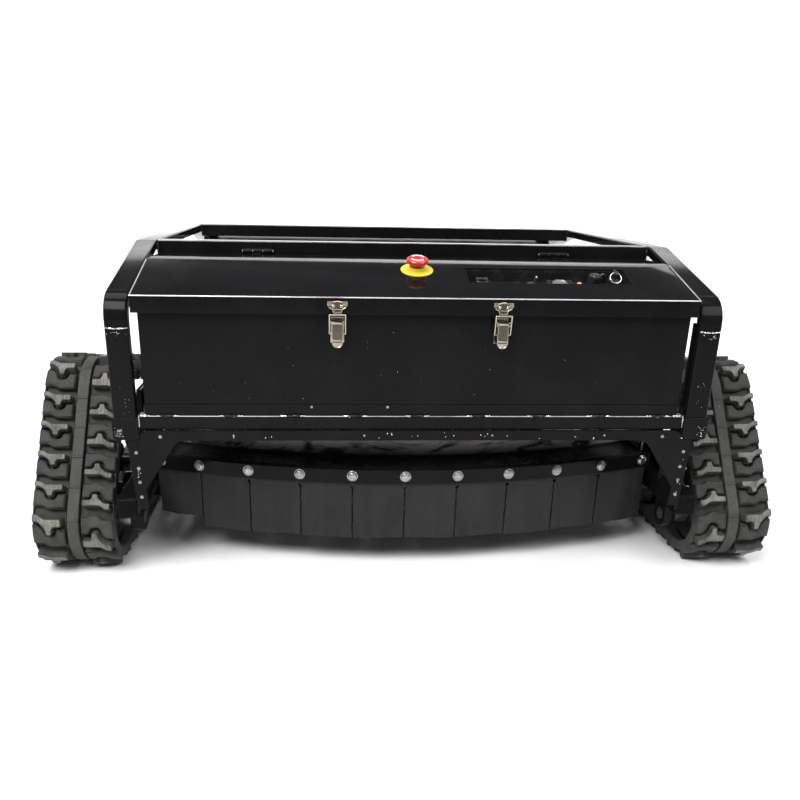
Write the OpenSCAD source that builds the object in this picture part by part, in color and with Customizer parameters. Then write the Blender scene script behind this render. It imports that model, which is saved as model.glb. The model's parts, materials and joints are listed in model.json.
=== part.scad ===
// Tracked chassis: two bent side tubes carry a control box at the near end, an open bay
// behind it, a rubber track on each side and a mower deck underneath. Millimetres.
// Y runs from the near end to the far end and Z up. The modules work from the near face
// of the side tubes, and centred() moves them to the middle of the footprint.

/* [Side frame] */
// Width over the two side tubes
frame_w = 1080; // [1078:1:1084]
// Width of a side tube, across the machine
tube_w = 40; // [38:1:42]
// Thickness of a side tube, in the plane of its arch
tube_t = 20; // [18:1:24]
// Distance between the two upright faces of an arch
arch_l = 1173; // [1165:1:1180]
// Height of the top of the arches
arch_h = 611; // [606:1:618]
// Height of the lower ends of the arches
arch_foot_z = 290; // [288:1:294]
// Slope of the arch shoulders
shoulder_a = 15; // [13:1:17]
// Outer radius of the lower bends
bend_r = 50; // [40:1:60]
// Wall of the hollow sections
tube_wall = 2; // [1.5:0.5:3]
// Size of the square cross rails
rail_size = 30; // [26:1:32]
// Distance from an upright face to the nearer cross rail
rail_y = 285; // [283:1:290]

/* [Lower frame] */
// Size of the square lower beams
beam_size = 26; // [24:1:28]
// Height of the underside of the lower beams
beam_z = 303; // [302:1:305]
// Thickness of the leg plates
leg_t = 5; // [4:1:6]
// Height of the lower ends of the legs
leg_foot_z = 152; // [148:1:156]

/* [Control box] */
// Half width of the box shell
box_half_w = 485; // [480:1:486]
// Depth position of the back wall
box_back_y = 266; // [262:1:268]
// Height of the lid at its front edge
lid_front_z = 541; // [536:1:546]
// Height of the flat rear part of the lid
lid_top_z = 587; // [582:1:588]
// Depth position of the bend between the lid's slope and its flat part
lid_bend_y = 153; // [145:1:160]
// Thickness of the lid and box sheet
sheet_t = 3; // [2:0.5:3.5]
// Half width of the lid
lid_half_w = 494; // [490:1:496]
// Distance of each latch from the middle
latch_x = 144; // [120:1:180]

/* [Tracks] */
// Width of a belt
belt_w = 150; // [148:1:152]
// Distance of each belt's middle from the middle of the machine
belt_x = 641; // [640:1:644]
// Number of tread links in a belt
link_count = 42; // [42:1:42]
// Thickness of the belt without lugs and horns
belt_t = 15; // [14:1:16]
// Height of the tread lugs above the belt
lug_h = 20; // [18:1:20]
// Height of the guide horns inside the belt
horn_h = 22; // [20:1:23]
// Pitch radius of the sprockets
sprocket_r = 76.4; // [76.4:0.1:76.4]
// Pitch radius of the belt on the idlers
idler_r = 64.5; // [64.5:0.1:64.5]
// Height of the sprocket shafts
sprocket_z = 284; // [284:1:284]

/* [Deck] */
// Radius of the curved front of the deck
deck_r = 1350; // [1340:1:1400]
// Depth position of the middle of the clamp band
band_y = 50; // [46:1:56]
// Height of the lower edge of the curtain
curtain_z = 62; // [55:1:80]
// Number of bolts in the clamp band
bolt_count = 11; // [11:1:11]
// Distance between two bolts of the band
bolt_pitch = 102.5; // [101:0.5:103]

/* [Hidden] */

$fn = 48;
left = -1;
right = 1;

// Clearances: a running fit on a shaft, a gap between moving sheets, and a cutting allowance
run_gap = 0.05;
sheet_gap = 0.7;
cut = 1;

// The footprint's middle, from the near latch levers to the far end of the tracks
near_end_y = -11.45;
far_end_y = 1186.47;
mid_y = (near_end_y + far_end_y) / 2;

// Side tubes
tube_x = [frame_w / 2 - tube_w, frame_w / 2];
bend_steps = 8;
// Height at which an upright face would meet the shoulder if the bend were sharp
shoulder_z = 537;
bend_z = shoulder_z - bend_r * tan((90 - shoulder_a) / 2);
foot_margin = 3;
foot_h = 42;
foot_floor = 4;

// Lower frame
beam_y = [leg_t, leg_t + beam_size];
beam_top = beam_z + beam_size;
foot_in_x = tube_x[0] - foot_margin;
side_rail_x = [385, 411];
floor_t = 6;

// Control box
lid_slope_a = atan((lid_top_z - lid_front_z) / lid_bend_y);
lid_skirt_h = 29;
lid_side_h = 25;
panel_y = [10, 10 + sheet_t];
sill_h = 21;
hinge_y = 274;
hinge_z = 592;
hinge_pin_r = 3;
hinge_x = 300;

// Instrument window, in distances across the lid and up its slope
window_x = [94, 394];
window_s = [69, 134];
tray_depth = 28;
tray_t = 2;
stop_pos = [3, 120];
key_pos = [371, 108];
toggle_pos = [215, 100];
rocker_pos = [134, 84];

// Wheels of a track, each as [depth, height, pitch radius]
near_idler = [100, 92, idler_r];
sprocket = [252, sprocket_z, sprocket_r];
far_idler = [1093, 92, idler_r];
loop_wheels = [near_idler, sprocket, far_idler];
roller_y = [299, 497, 696, 895];
roller_z = 74;
roller_r = 38;
roller_hub_r = 15;
rim_in = 30;
rim_out = 62;
idler_rim_r = idler_r - belt_t / 2 - 1;
idler_hub_r = 30;
tooth_count = 8;
tooth_tip_r = 74;
tooth_root_r = 60;
idler_axle_r = 12.5;
roller_axle_r = 8;
frame_beam_x = [512, 552];
frame_beam_y = [10, arch_l - 10];
frame_beam_z = [128, 168];
bracket_x = [524, 548];
motor_plate_x = [536, 546];
motor_r = 36;
motor_inner_x = 416;
boss_r = 22;
boss_end_x = 562;

// Deck
deck_centre_y = band_y + deck_r;
band_t = 5;
curtain_t = 6;
skirt_t = 4;
band_zone = [178, 207];
bolt_z = 194;
// The row of bolts sits a little to the left, and its first bolt a little nearer the next
bolt_shift = -12;
first_bolt_shift = 18;
deck_wall_back = 80;
deck_top_z = 246;
deck_flange_z = 206;
deck_side_z = 110;
skirt_z = 165;
arc_a = 180 / PI / deck_r;
bolt_step = bolt_pitch * arc_a;
deck_half_w = 494;
deck_rear_y = 1040;
band_half_a = (bolt_count - 1) / 2 * bolt_step + 0.4;

// Latches: the lever turns about its pivot, and the bail hangs from a second, lower pivot
lever_pivot = [-6, 498];
bail_pivot = [-5, 480];
bail_top = [-10.2, 513];
wire_r = 1.25;
pivot_r = 1.5;

// ---- helpers ----

module centred() { translate([0, -mid_y, 0]) children(); }
module on_side(side) { if (side == right) children(); else mirror([1, 0, 0]) children(); }
module both_sides() { for (side = [left, right]) on_side(side) children(); }
module mirrored_ends() { children(); translate([0, arch_l, 0]) mirror([0, 1, 0]) children(); }
module far_end_copy() { translate([0, arch_l, 0]) mirror([0, 1, 0]) children(); }

// A block between two limits on each axis
module block(x, y, z) {
    translate([x[0], y[0], z[0]]) cube([x[1] - x[0], y[1] - y[0], z[1] - z[0]]);
}
// A depth-height outline, drawn out across the machine
module across(x) { translate([x[0], 0, 0]) rotate([90, 0, 90]) linear_extrude(x[1] - x[0]) children(); }
// A width-height outline, drawn out along the machine
module along(y) { translate([0, y[1], 0]) rotate([90, 0, 0]) linear_extrude(y[1] - y[0]) children(); }
module rod_x(x, r, y, z) { translate([x[0], y, z]) rotate([0, 90, 0]) cylinder(h = x[1] - x[0], r = r); }
module rod_y(y, r, x, z) { translate([x, y[0], z]) rotate([-90, 0, 0]) cylinder(h = y[1] - y[0], r = r); }
module rounded_square(size, r) {
    square([size[0] - 2 * r, size[1]], center = true);
    square([size[0], size[1] - 2 * r], center = true);
    for (x = [-1, 1], y = [-1, 1])
        translate([x * (size[0] / 2 - r), y * (size[1] / 2 - r)]) circle(r);
}
// A frame that lies in the lid's slope: across, up the slope and out of the sheet
module on_slope(x, s, n = 0) {
    translate([x, 0, lid_front_z]) rotate([lid_slope_a, 0, 0]) translate([0, s, n]) children();
}

function flipped(points) = [for (i = [len(points) - 1:-1:0]) points[i]];
function unit(v) = v / norm(v);
// The rounded corner at b between a and c, which starts a given distance before b
function soft_corner(a, b, c, size) =
    [for (t = [0:0.25:1]) b + unit(a - b) * size * (1 - t) * (1 - t) + unit(c - b) * size * t * t];

// ---- side frame ----

// Half of an arch, at a given depth inside its outer face
function half_arch(inset, foot_z) = concat(
    [[inset, foot_z]],
    [for (i = [0:bend_steps])
        let (a = 180 - (90 - shoulder_a) * i / bend_steps)
            [bend_r + (bend_r - inset) * cos(a), bend_z + (bend_r - inset) * sin(a)]],
    [[bend_r + (bend_r - inset) * cos(90 + shoulder_a)
        + (arch_h - inset - bend_z - (bend_r - inset) * sin(90 + shoulder_a)) / tan(shoulder_a),
        arch_h - inset]]);
function whole_arch(inset, foot_z) =
    let (half = half_arch(inset, foot_z))
        concat(half, [for (p = flipped(half)) [arch_l - p[0], p[1]]]);
function arch_outline(outer, inner, foot_z) =
    concat(whole_arch(outer, foot_z), flipped(whole_arch(inner, foot_z)));

module side_tube() {
    color([0.13, 0.13, 0.14]) difference() {
        across(tube_x) polygon(arch_outline(0, tube_t, arch_foot_z));
        across([tube_x[0] + tube_wall, tube_x[1] - tube_wall])
            polygon(arch_outline(tube_wall, tube_t - tube_wall, arch_foot_z - cut));
    }
}

// A shoe with rounded corners closes the lower end of each tube
module tube_feet() {
    foot_z = arch_foot_z - foot_floor;
    color([0.12, 0.12, 0.13]) both_sides() mirrored_ends() difference() {
        along([-foot_margin, tube_t + foot_margin])
            translate([(tube_x[0] + tube_x[1]) / 2, foot_z + foot_h / 2])
                rounded_square([tube_w + 2 * foot_margin, foot_h], 7);
        block(tube_x, [0, tube_t], [arch_foot_z, foot_z + foot_h + cut]);
    }
}

// A square tube across the machine
module cross_tube(half_l, y, z, size) {
    difference() {
        block([-half_l, half_l], [y, y + size], [z, z + size]);
        block([-half_l - cut, half_l + cut], [y + tube_wall, y + size - tube_wall],
            [z + tube_wall, z + size - tube_wall]);
    }
}
module near_top_rail() {
    color([0.13, 0.13, 0.14]) cross_tube(tube_x[0], rail_y, arch_h - rail_size, rail_size);
}
module far_top_rail() { far_end_copy() near_top_rail(); }

// A bent sheet behind the far rail, along the far shoulders
module rear_cover() {
    lip_y = 37;
    lip_z = [480, 524.5];
    top = arch_h - rail_size + 10;
    color([0.13, 0.13, 0.14]) far_end_copy() across([-tube_x[0], tube_x[0]])
        polygon([[rail_y, top], [lip_y, lip_z[1]], [lip_y, lip_z[0]], [lip_y + sheet_t, lip_z[0]],
                 [lip_y + sheet_t, lip_z[1] - 2.3], [rail_y, top - sheet_t]]);
}

// ---- lower frame ----

module front_beam() {
    color([0.12, 0.12, 0.13]) cross_tube(foot_in_x, beam_y[0], beam_z, beam_size);
}
module rear_beam() { far_end_copy() front_beam(); }

// A plate in front of the beam, with a tapering leg at each end
function half_leg_plate() =
    let (waist = 284, knee = [493, 190], corner = [430, waist]) concat(
        [[foot_in_x - 12, beam_z], [foot_in_x, beam_z - 7],
         [foot_in_x, arch_foot_z - foot_floor], [520, arch_foot_z - foot_floor],
         [frame_beam_x[0], frame_beam_z[1]], [frame_beam_x[0], leg_foot_z],
         [frame_beam_x[0] - 22, leg_foot_z], knee],
        soft_corner(knee, corner, [0, waist], 14));
module front_leg_plate() {
    half = half_leg_plate();
    color([0.12, 0.12, 0.13]) along([0, leg_t])
        polygon(concat(half, [for (p = flipped(half)) [-p[0], p[1]]]));
}
module rear_leg_plate() { far_end_copy() front_leg_plate(); }

module floor_rails() {
    rail_l = [beam_y[1], arch_l - beam_y[1]];
    color([0.12, 0.12, 0.13]) both_sides() difference() {
        block(side_rail_x, rail_l, [beam_z, beam_top]);
        block([side_rail_x[0] + tube_wall, side_rail_x[1] - tube_wall],
            [rail_l[0] - cut, rail_l[1] + cut], [beam_z + tube_wall, beam_top - tube_wall]);
    }
}

// The plate that the engine or payload bolts to, with a shaft hole and four bolt holes
engine_bolts = [162, 75.5];
engine_bolt_r = 5;
shaft_hole_r = 30;
module floor_plate() {
    color([0.15, 0.15, 0.16]) difference() {
        block([-side_rail_x[0], side_rail_x[0]], [beam_y[1], arch_l - beam_y[1]],
            [beam_z, beam_z + floor_t]);
        translate([0, mid_y, beam_z - cut]) {
            cylinder(h = floor_t + 2 * cut, r = shaft_hole_r);
            for (x = [-1, 1], y = [-1, 1])
                translate([x * engine_bolts[0] / 2, y * engine_bolts[1] / 2, 0])
                    cylinder(h = floor_t + 2 * cut, r = engine_bolt_r);
        }
    }
}

// ---- control box ----

// Height of the lid's upper face at a depth
function lid_z(y) = min(lid_top_z, lid_front_z + y * tan(lid_slope_a));
box_rim = sheet_t / cos(lid_slope_a) + sheet_gap;

module control_box() {
    outer = [[panel_y[1], beam_top], [panel_y[1], lid_z(panel_y[1]) - box_rim],
             [lid_bend_y, lid_top_z - box_rim], [box_back_y, lid_top_z - box_rim],
             [box_back_y, beam_top]];
    color([0.13, 0.13, 0.14]) difference() {
        across([-box_half_w, box_half_w]) polygon(outer);
        block([-box_half_w + sheet_t, box_half_w - sheet_t],
            [panel_y[1] - cut, box_back_y - sheet_t], [beam_top + sheet_t, arch_h]);
    }
}
module box_front_panel() {
    color([0.13, 0.13, 0.14])
        block([-box_half_w, box_half_w], panel_y,
            [beam_top + sill_h, lid_z(panel_y[0]) - box_rim]);
}
module box_sill() {
    slot_x = [-190, -53];
    color([0.12, 0.12, 0.13]) difference() {
        block([-box_half_w, box_half_w], [panel_y[0] - 1, panel_y[1]], [beam_top, beam_top + sill_h]);
        for (x = slot_x)
            block([x - 2.5, x + 2.5], [panel_y[0] - 2, panel_y[1] + cut], [beam_top + 13, beam_top + 18]);
    }
}
module battery() {
    battery_x = [-420, -90];
    battery_y = [45, 215];
    battery_z = [beam_top + sheet_t, beam_top + sheet_t + 165];
    color([0.25, 0.25, 0.27]) {
        block(battery_x, battery_y, battery_z);
        for (x = [battery_x[0] + 40, battery_x[1] - 40])
            translate([x, battery_y[0] + 35, battery_z[1] - cut]) cylinder(h = 15, r = 9);
    }
}
module motor_controller() {
    controller_x = [-40, 170];
    base_z = beam_top + sheet_t;
    color([0.35, 0.35, 0.37]) {
        block(controller_x, [60, 210], [base_z, base_z + 45]);
        for (x = [controller_x[0] + 10:20:controller_x[1] - 10])
            block([x - 2, x + 2], [65, 205], [base_z + 44, base_z + 68]);
    }
}

// Hinges: two outer knuckles on the near rail and one on the lid, round each pin
knuckle_r = 5.5;
knuckle_l = 20;
leaf_z = [583, 607];
module hinge_leaves() {
    color([0.2, 0.2, 0.2]) for (x = [-hinge_x, hinge_x]) difference() {
        union() {
            block([x - 1.5 * knuckle_l, x + 1.5 * knuckle_l], [rail_y - 3, rail_y], leaf_z);
            for (e = [-1, 1]) {
                rod_x([x + e * knuckle_l - knuckle_l / 2 + 0.5, x + e * knuckle_l + knuckle_l / 2 - 0.5],
                    knuckle_r, hinge_y, hinge_z);
                block([x + e * knuckle_l - knuckle_l / 2 + 0.5, x + e * knuckle_l + knuckle_l / 2 - 0.5],
                    [hinge_y, rail_y], [hinge_z - 2, hinge_z + 2]);
            }
        }
        rod_x([x - 2 * knuckle_l, x + 2 * knuckle_l], hinge_pin_r, hinge_y, hinge_z);
    }
}
module hinge_pins() {
    color([0.6, 0.6, 0.6]) for (x = [-hinge_x, hinge_x])
        rod_x([x - 1.5 * knuckle_l - 1, x + 1.5 * knuckle_l + 1], hinge_pin_r, hinge_y, hinge_z);
}

// ---- lid and what is on it ----

lid_line = [[0, lid_front_z - lid_skirt_h], [0, lid_front_z], [lid_bend_y, lid_top_z],
            [box_back_y, lid_top_z]];
module lid() {
    slope_drop = sheet_t / cos(lid_slope_a);
    under = [[sheet_t, lid_front_z - lid_skirt_h],
             [sheet_t, lid_z(sheet_t) - slope_drop], [lid_bend_y, lid_top_z - slope_drop],
             [box_back_y, lid_top_z - slope_drop]];
    side = [[0, lid_front_z - lid_skirt_h], [0, lid_front_z], [lid_bend_y, lid_top_z],
            [box_back_y, lid_top_z], [box_back_y, lid_top_z - lid_side_h],
            [lid_bend_y, lid_top_z - lid_side_h], [sheet_t, lid_front_z - lid_skirt_h]];
    color([0.13, 0.13, 0.14]) difference() {
        union() {
            across([-lid_half_w, lid_half_w]) polygon(concat(lid_line, flipped(under)));
            both_sides() across([lid_half_w - sheet_t, lid_half_w]) polygon(side);
            for (x = [-hinge_x, hinge_x]) {
                rod_x([x - knuckle_l / 2 + 0.5, x + knuckle_l / 2 - 0.5], knuckle_r, hinge_y, hinge_z);
                block([x - knuckle_l / 2 + 0.5, x + knuckle_l / 2 - 0.5],
                    [box_back_y - 30, hinge_y], [lid_top_z - cut, lid_top_z + 2.5]);
            }
        }
        for (x = [-hinge_x, hinge_x])
            rod_x([x - knuckle_l, x + knuckle_l], hinge_pin_r + run_gap, hinge_y, hinge_z);
        on_slope(0, 0) block(window_x, window_s, [-2 * sheet_t, sheet_t]);
        on_slope(stop_pos[0], stop_pos[1], -3 * sheet_t) cylinder(h = 6 * sheet_t, r = stop_body_r);
    }
}

module instrument_tray() {
    color([0.08, 0.08, 0.08]) on_slope(0, 0) difference() {
        block([window_x[0] - tray_t, window_x[1] + tray_t],
            [window_s[0] - tray_t, window_s[1] + tray_t], [-tray_depth, -sheet_t]);
        block(window_x, window_s, [-tray_depth + tray_t, 0]);
    }
}

// Emergency stop: a body through the lid, a yellow plate and a red mushroom button
stop_body_r = 11;
stop_stem_r = 6;
stop_plate_r = 30;
stop_plate_t = 2;
module stop_collar() {
    color([0.85, 0.8, 0.2]) on_slope(stop_pos[0], stop_pos[1]) difference() {
        union() {
            cylinder(h = stop_plate_t, r = stop_plate_r);
            translate([0, 0, stop_plate_t - 0.5]) cylinder(h = 7, r = 14.5);
            translate([0, 0, -32]) cylinder(h = 33, r = stop_body_r);
        }
        translate([0, 0, -26]) cylinder(h = 60, r = stop_stem_r + run_gap);
    }
}
module stop_button() {
    cap_z = 14.5;
    color([0.75, 0.1, 0.15]) on_slope(stop_pos[0], stop_pos[1])
        rotate_extrude() polygon(concat(
            [[0, -18], [stop_stem_r, -18], [stop_stem_r, cap_z - 1], [15, cap_z - 1], [18.5, cap_z]],
            [for (a = [0:15:90]) [15.5 + 4.5 * cos(a), cap_z + 3.5 + 5.5 * sin(a)]],
            [[0, cap_z + 10]]));
}

// Fixed instruments, each its own solid, on the tray floor
floor_n = -tray_depth + tray_t;
module panel_instruments() {
    color([0.3, 0.3, 0.32]) {
        // charge socket
        on_slope(126, 116, floor_n) difference() {
            translate([-11, -11, 0]) cube([22, 22, 9]);
            translate([0, 0, 3]) cylinder(h = 10, r = 7);
        }
        // rocker bezel
        on_slope(rocker_pos[0], rocker_pos[1], floor_n) difference() {
            translate([-7.5, -10.5, 0]) cube([15, 21, 9]);
            translate([-5, -8, 2]) cube([10, 16, 10]);
        }
        // toggle bush
        on_slope(toggle_pos[0], toggle_pos[1], floor_n) difference() {
            cylinder(h = 9, r = 6);
            translate([0, 0, 3]) cylinder(h = 10, r = 4.6);
        }
        // meter
        on_slope(269, 100, floor_n) difference() {
            translate([-24, -14.5, 0]) cube([48, 29, 13]);
            translate([-19, -9.5, 11]) cube([38, 19, 5]);
        }
        // indicator lamp
        on_slope(305, 100, floor_n) {
            cylinder(h = 6, r = 7);
            translate([0, 0, 5]) cylinder(h = 6, r = 5);
        }
        // capped connector
        on_slope(332, 100, floor_n) {
            cylinder(h = 8, r = 14);
            translate([0, 0, 7]) cylinder(h = 22, r = 11.5);
        }
        // key switch barrel
        on_slope(key_pos[0], key_pos[1], floor_n) difference() {
            cylinder(h = 17, r = 10);
            translate([0, 0, 5]) cylinder(h = 20, r = 3 + run_gap);
        }
    }
}

// The key: a stem in the barrel, a flat bow and the ring through it, which hangs forward
key_hole_n = 30;
key_ring_r = 10.5;
ring_swing = -50;
module ignition_key() {
    color([0.75, 0.75, 0.75]) on_slope(key_pos[0], key_pos[1], floor_n) {
        translate([0, 0, 7]) cylinder(h = 14, r = 3);
        difference() {
            translate([-1.25, 0, 27]) rotate([90, 0, 90]) linear_extrude(2.5) rounded_square([19, 15], 5);
            translate([-5, 0, key_hole_n]) rotate([0, 90, 0]) cylinder(h = 10, r = 2.5);
        }
        translate([0, 0, key_hole_n + 1]) rotate([ring_swing, 0, 0])
            translate([0, 0, -key_ring_r]) rotate([90, 0, 0]) rotate_extrude()
                translate([key_ring_r, 0]) circle(r = 1, $fn = 24);
    }
}

// The toggle lever rests over to one side, so its travel runs from zero
toggle_tilt = 24;
toggle_n = 6;
module toggle_lever() {
    color([0.8, 0.8, 0.8]) on_slope(toggle_pos[0], toggle_pos[1], floor_n + toggle_n)
        rotate([0, toggle_tilt, 0]) rotate_extrude()
            polygon([[0, -1.5], [2.2, -1.5], [1.8, 4], [2.8, 19], [2.2, 21], [0, 21]]);
}

rocker_tilt = 8;
rocker_n = 9;
module rocker_key() {
    color([0.8, 0.1, 0.12]) on_slope(rocker_pos[0], rocker_pos[1], floor_n + rocker_n)
        rotate([rocker_tilt, 0, 0]) block([-4.5, 4.5], [-7, 7], [-3, 3]);
}

// ---- latches ----

// A fan-shaped strike on the lid's front edge, with a short tongue over the bail
module strike_plates() {
    strike_z = [lid_front_z - 25, lid_front_z - 6];
    fan = [[-8, strike_z[0]], [8, strike_z[0]], [9, strike_z[0] + 10], [17.5, strike_z[1] - 8],
           [17.5, strike_z[1]], [-17.5, strike_z[1]], [-17.5, strike_z[1] - 8], [-9, strike_z[0] + 10]];
    color([0.72, 0.68, 0.6]) for (x = [-latch_x, latch_x]) translate([x, 0, 0]) {
        along([-1.5, 0]) polygon(fan);
        block([-6, 6], [-5, -1], [strike_z[0] + 5, strike_z[0] + 7]);
        for (e = [-1, 1]) rod_y([-3, -1], 2.6, e * 11.5, strike_z[1] - 5);
    }
}

// The base on the box front, with two ears that hold the lever's pivot pin
base_y = [panel_y[0] - 1.5, panel_y[0]];
ear_x = [10.4, 11.8];
ear_r = 5;
module latch_bases() {
    base_z = [462, 507];
    color([0.72, 0.68, 0.6]) for (x = [-latch_x, latch_x]) translate([x, 0, 0]) {
        block([-ear_x[1], ear_x[1]], base_y, base_z);
        for (e = [left, right]) on_side(e) {
            block(ear_x, [lever_pivot[0], base_y[1]],
                [lever_pivot[1] - ear_r, lever_pivot[1] + ear_r]);
            rod_x(ear_x, ear_r, lever_pivot[0], lever_pivot[1]);
        }
        rod_x([-ear_x[1], ear_x[1]], pivot_r, lever_pivot[0], lever_pivot[1]);
    }
}

// The lever: a folded plate that hangs from the pivot to a rounded tip
lever_half_w = 9.6;
lever_t = 1.6;
module latch_lever(x) {
    front_y = lever_pivot[0] - 4.5;
    tip_z = 466;
    color([0.75, 0.7, 0.62]) translate([x, 0, 0]) difference() {
        union() {
            along([front_y, front_y + lever_t]) {
                translate([-lever_half_w, tip_z]) square([2 * lever_half_w, lever_pivot[1] + 4 - tip_z]);
                translate([0, tip_z]) circle(lever_half_w);
            }
            for (e = [left, right]) on_side(e) across([lever_half_w - 1.4, lever_half_w])
                polygon([[front_y, bail_pivot[1] - 6], [bail_pivot[0] + 3, bail_pivot[1] - 5],
                         [bail_pivot[0] + 3.5, bail_pivot[1] + 3],
                         [lever_pivot[0] + 3.5, lever_pivot[1] - 3],
                         [lever_pivot[0] + 3.5, lever_pivot[1] + 3], [front_y, lever_pivot[1] + 4]]);
        }
        rod_x([-20, 20], pivot_r + run_gap, lever_pivot[0], lever_pivot[1]);
        rod_x([-20, 20], wire_r + run_gap, bail_pivot[0], bail_pivot[1]);
    }
}

// The bail: a wire loop from the lever's sides up to the strike
bail_half_w = 13.8;
module latch_bail(x) {
    lean_a = atan((bail_top[0] - bail_pivot[0]) / (bail_top[1] - bail_pivot[1]));
    bail_l = norm(bail_top - bail_pivot);
    color([0.78, 0.74, 0.66]) translate([x, bail_pivot[0], bail_pivot[1]]) rotate([-lean_a, 0, 0]) {
        for (e = [left, right]) on_side(e) {
            translate([bail_half_w, 0, 0]) cylinder(h = bail_l, r = wire_r, $fn = 24);
            rod_x([lever_half_w - 1.4, bail_half_w], wire_r, 0, 0);
            translate([bail_half_w, 0, 0]) sphere(r = wire_r, $fn = 24);
            translate([bail_half_w, 0, bail_l]) sphere(r = wire_r, $fn = 24);
        }
        rod_x([-bail_half_w, bail_half_w], wire_r, 0, bail_l);
    }
}

// ---- deck ----

// A ring of the deck's curved front, between two radii, within the deck's width
module deck_ring(r_in, r_out, half_w) {
    intersection() {
        translate([0, deck_centre_y]) difference() {
            circle(r_out, $fn = 180);
            circle(r_in, $fn = 180);
        }
        translate([-half_w, band_y - 10]) square([2 * half_w, 260]);
    }
}
deck_wall_r = deck_r - deck_wall_back;
skirt_r = deck_r - band_t - curtain_t;
module mower_deck() {
    side_start_y = deck_centre_y - sqrt(pow(skirt_r, 2) - pow(deck_half_w, 2)) + 0.5;
    ring_half_w = deck_half_w - skirt_t / 2;
    color([0.16, 0.16, 0.15]) {
        // flange and skirt behind the curtain
        translate([0, 0, deck_flange_z - sheet_t]) linear_extrude(sheet_t)
            deck_ring(deck_wall_r - sheet_t / 2, skirt_r - skirt_t / 2, ring_half_w);
        translate([0, 0, skirt_z]) linear_extrude(deck_flange_z + 2 - skirt_z)
            deck_ring(skirt_r - skirt_t, skirt_r, ring_half_w);
        // curved front wall and top plate
        translate([0, 0, deck_flange_z - 2 * sheet_t])
            linear_extrude(deck_top_z - deck_flange_z + 1.5 * sheet_t)
                deck_ring(deck_wall_r - sheet_t, deck_wall_r, ring_half_w);
        translate([0, 0, deck_top_z - sheet_t]) linear_extrude(sheet_t) intersection() {
            translate([0, deck_centre_y]) circle(deck_wall_r - sheet_t / 2, $fn = 180);
            translate([-ring_half_w, band_y])
                square([2 * ring_half_w, deck_rear_y - band_y - skirt_t / 2]);
        }
        // side and rear walls
        both_sides() block([deck_half_w - skirt_t, deck_half_w], [side_start_y, deck_rear_y],
            [deck_side_z, deck_top_z + 2]);
        block([-deck_half_w + 1, deck_half_w - 1], [deck_rear_y - skirt_t, deck_rear_y - 0.5],
            [deck_side_z + 2, deck_top_z + 1]);
    }
}
module deck_hangers() {
    color([0.3, 0.3, 0.3]) for (x = [-300, 300], y = [330, arch_l - 330])
        translate([x, y, deck_top_z]) cylinder(h = beam_z - deck_top_z, r = 15);
}

// A stretch of the curved front between two angles from the middle
module front_arc(r, a, z) {
    translate([0, deck_centre_y, z[0]]) rotate([0, 0, -90 + a[0]])
        rotate_extrude(angle = a[1] - a[0], $fn = 180)
            translate([r[0], 0]) square([r[1] - r[0], z[1] - z[0]]);
}
module clamp_band() {
    color([0.14, 0.14, 0.15])
        front_arc([deck_r - band_t, deck_r], [-band_half_a, band_half_a], band_zone);
}
function bolt_angle(i) =
    (i - (bolt_count - 1) / 2) * bolt_step + (bolt_shift + (i == 0 ? first_bolt_shift : 0)) * arc_a;
module at_bolt(i, r, z) {
    translate([0, deck_centre_y, z]) rotate([0, 0, bolt_angle(i)]) translate([0, -r, 0])
        rotate([90, 0, 0]) children();
}
module band_bolts() {
    color([0.8, 0.8, 0.8]) for (i = [0:bolt_count - 1]) at_bolt(i, deck_r, bolt_z)
        rotate_extrude() polygon([[0, 0], [9, 0], [8.6, 2.5], [7, 4.4], [4, 5.4], [3, 3.2], [0, 3.2]]);
}

// A sheet of flaps: slits run up from the hem to a round hole under each bolt
slit_w = 3;
slit_top = 170;
module curtain_sheet(a, hem_z, first_slit, last_slit) {
    difference() {
        front_arc([deck_r - band_t - curtain_t, deck_r - band_t], a, [hem_z, band_zone[1] - 1]);
        for (i = [first_slit:last_slit]) {
            at_bolt(i, deck_r - 20, 0) translate([-slit_w / 2, hem_z - cut, 0])
                cube([slit_w, slit_top - hem_z + cut, 30]);
            at_bolt(i, deck_r - 20, slit_top) cylinder(h = 30, r = 4.2);
        }
    }
}
module rubber_curtain() {
    color([0.24, 0.24, 0.24])
        curtain_sheet([bolt_angle(1) + 0.06, band_half_a - 0.05], curtain_z, 2, bolt_count - 2);
}
module curtain_end_flap() {
    color([0.22, 0.22, 0.22])
        curtain_sheet([-band_half_a + 0.05, bolt_angle(1) - 0.06], curtain_z + 20, 1, 0);
}

// ---- running gear ----

// The belt runs outside three wheels. The loop is a wrap on each wheel and a run between them.
function run_normal(a, b) =
    let (d = [b[0] - a[0], b[1] - a[1]], u = unit(d), k = (a[2] - b[2]) / norm(d), c = sqrt(1 - k * k))
        [-u[1] * c + u[0] * k, u[0] * c + u[1] * k];
function run_length(a, b) = sqrt(pow(b[0] - a[0], 2) + pow(b[1] - a[1], 2) - pow(a[2] - b[2], 2));
function turn(from, to) = (atan2(from[1], from[0]) - atan2(to[1], to[0]) + 720) % 360;
wheel_ids = [0, 1, 2];
run_n = [for (i = wheel_ids) run_normal(loop_wheels[i], loop_wheels[(i + 1) % 3])];
run_l = [for (i = wheel_ids) run_length(loop_wheels[i], loop_wheels[(i + 1) % 3])];
wrap_l = [for (i = wheel_ids) turn(run_n[(i + 2) % 3], run_n[i]) * PI / 180 * loop_wheels[i][2]];
loop_l = run_l[0] + run_l[1] + run_l[2] + wrap_l[0] + wrap_l[1] + wrap_l[2];
link_l = loop_l / link_count;

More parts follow.
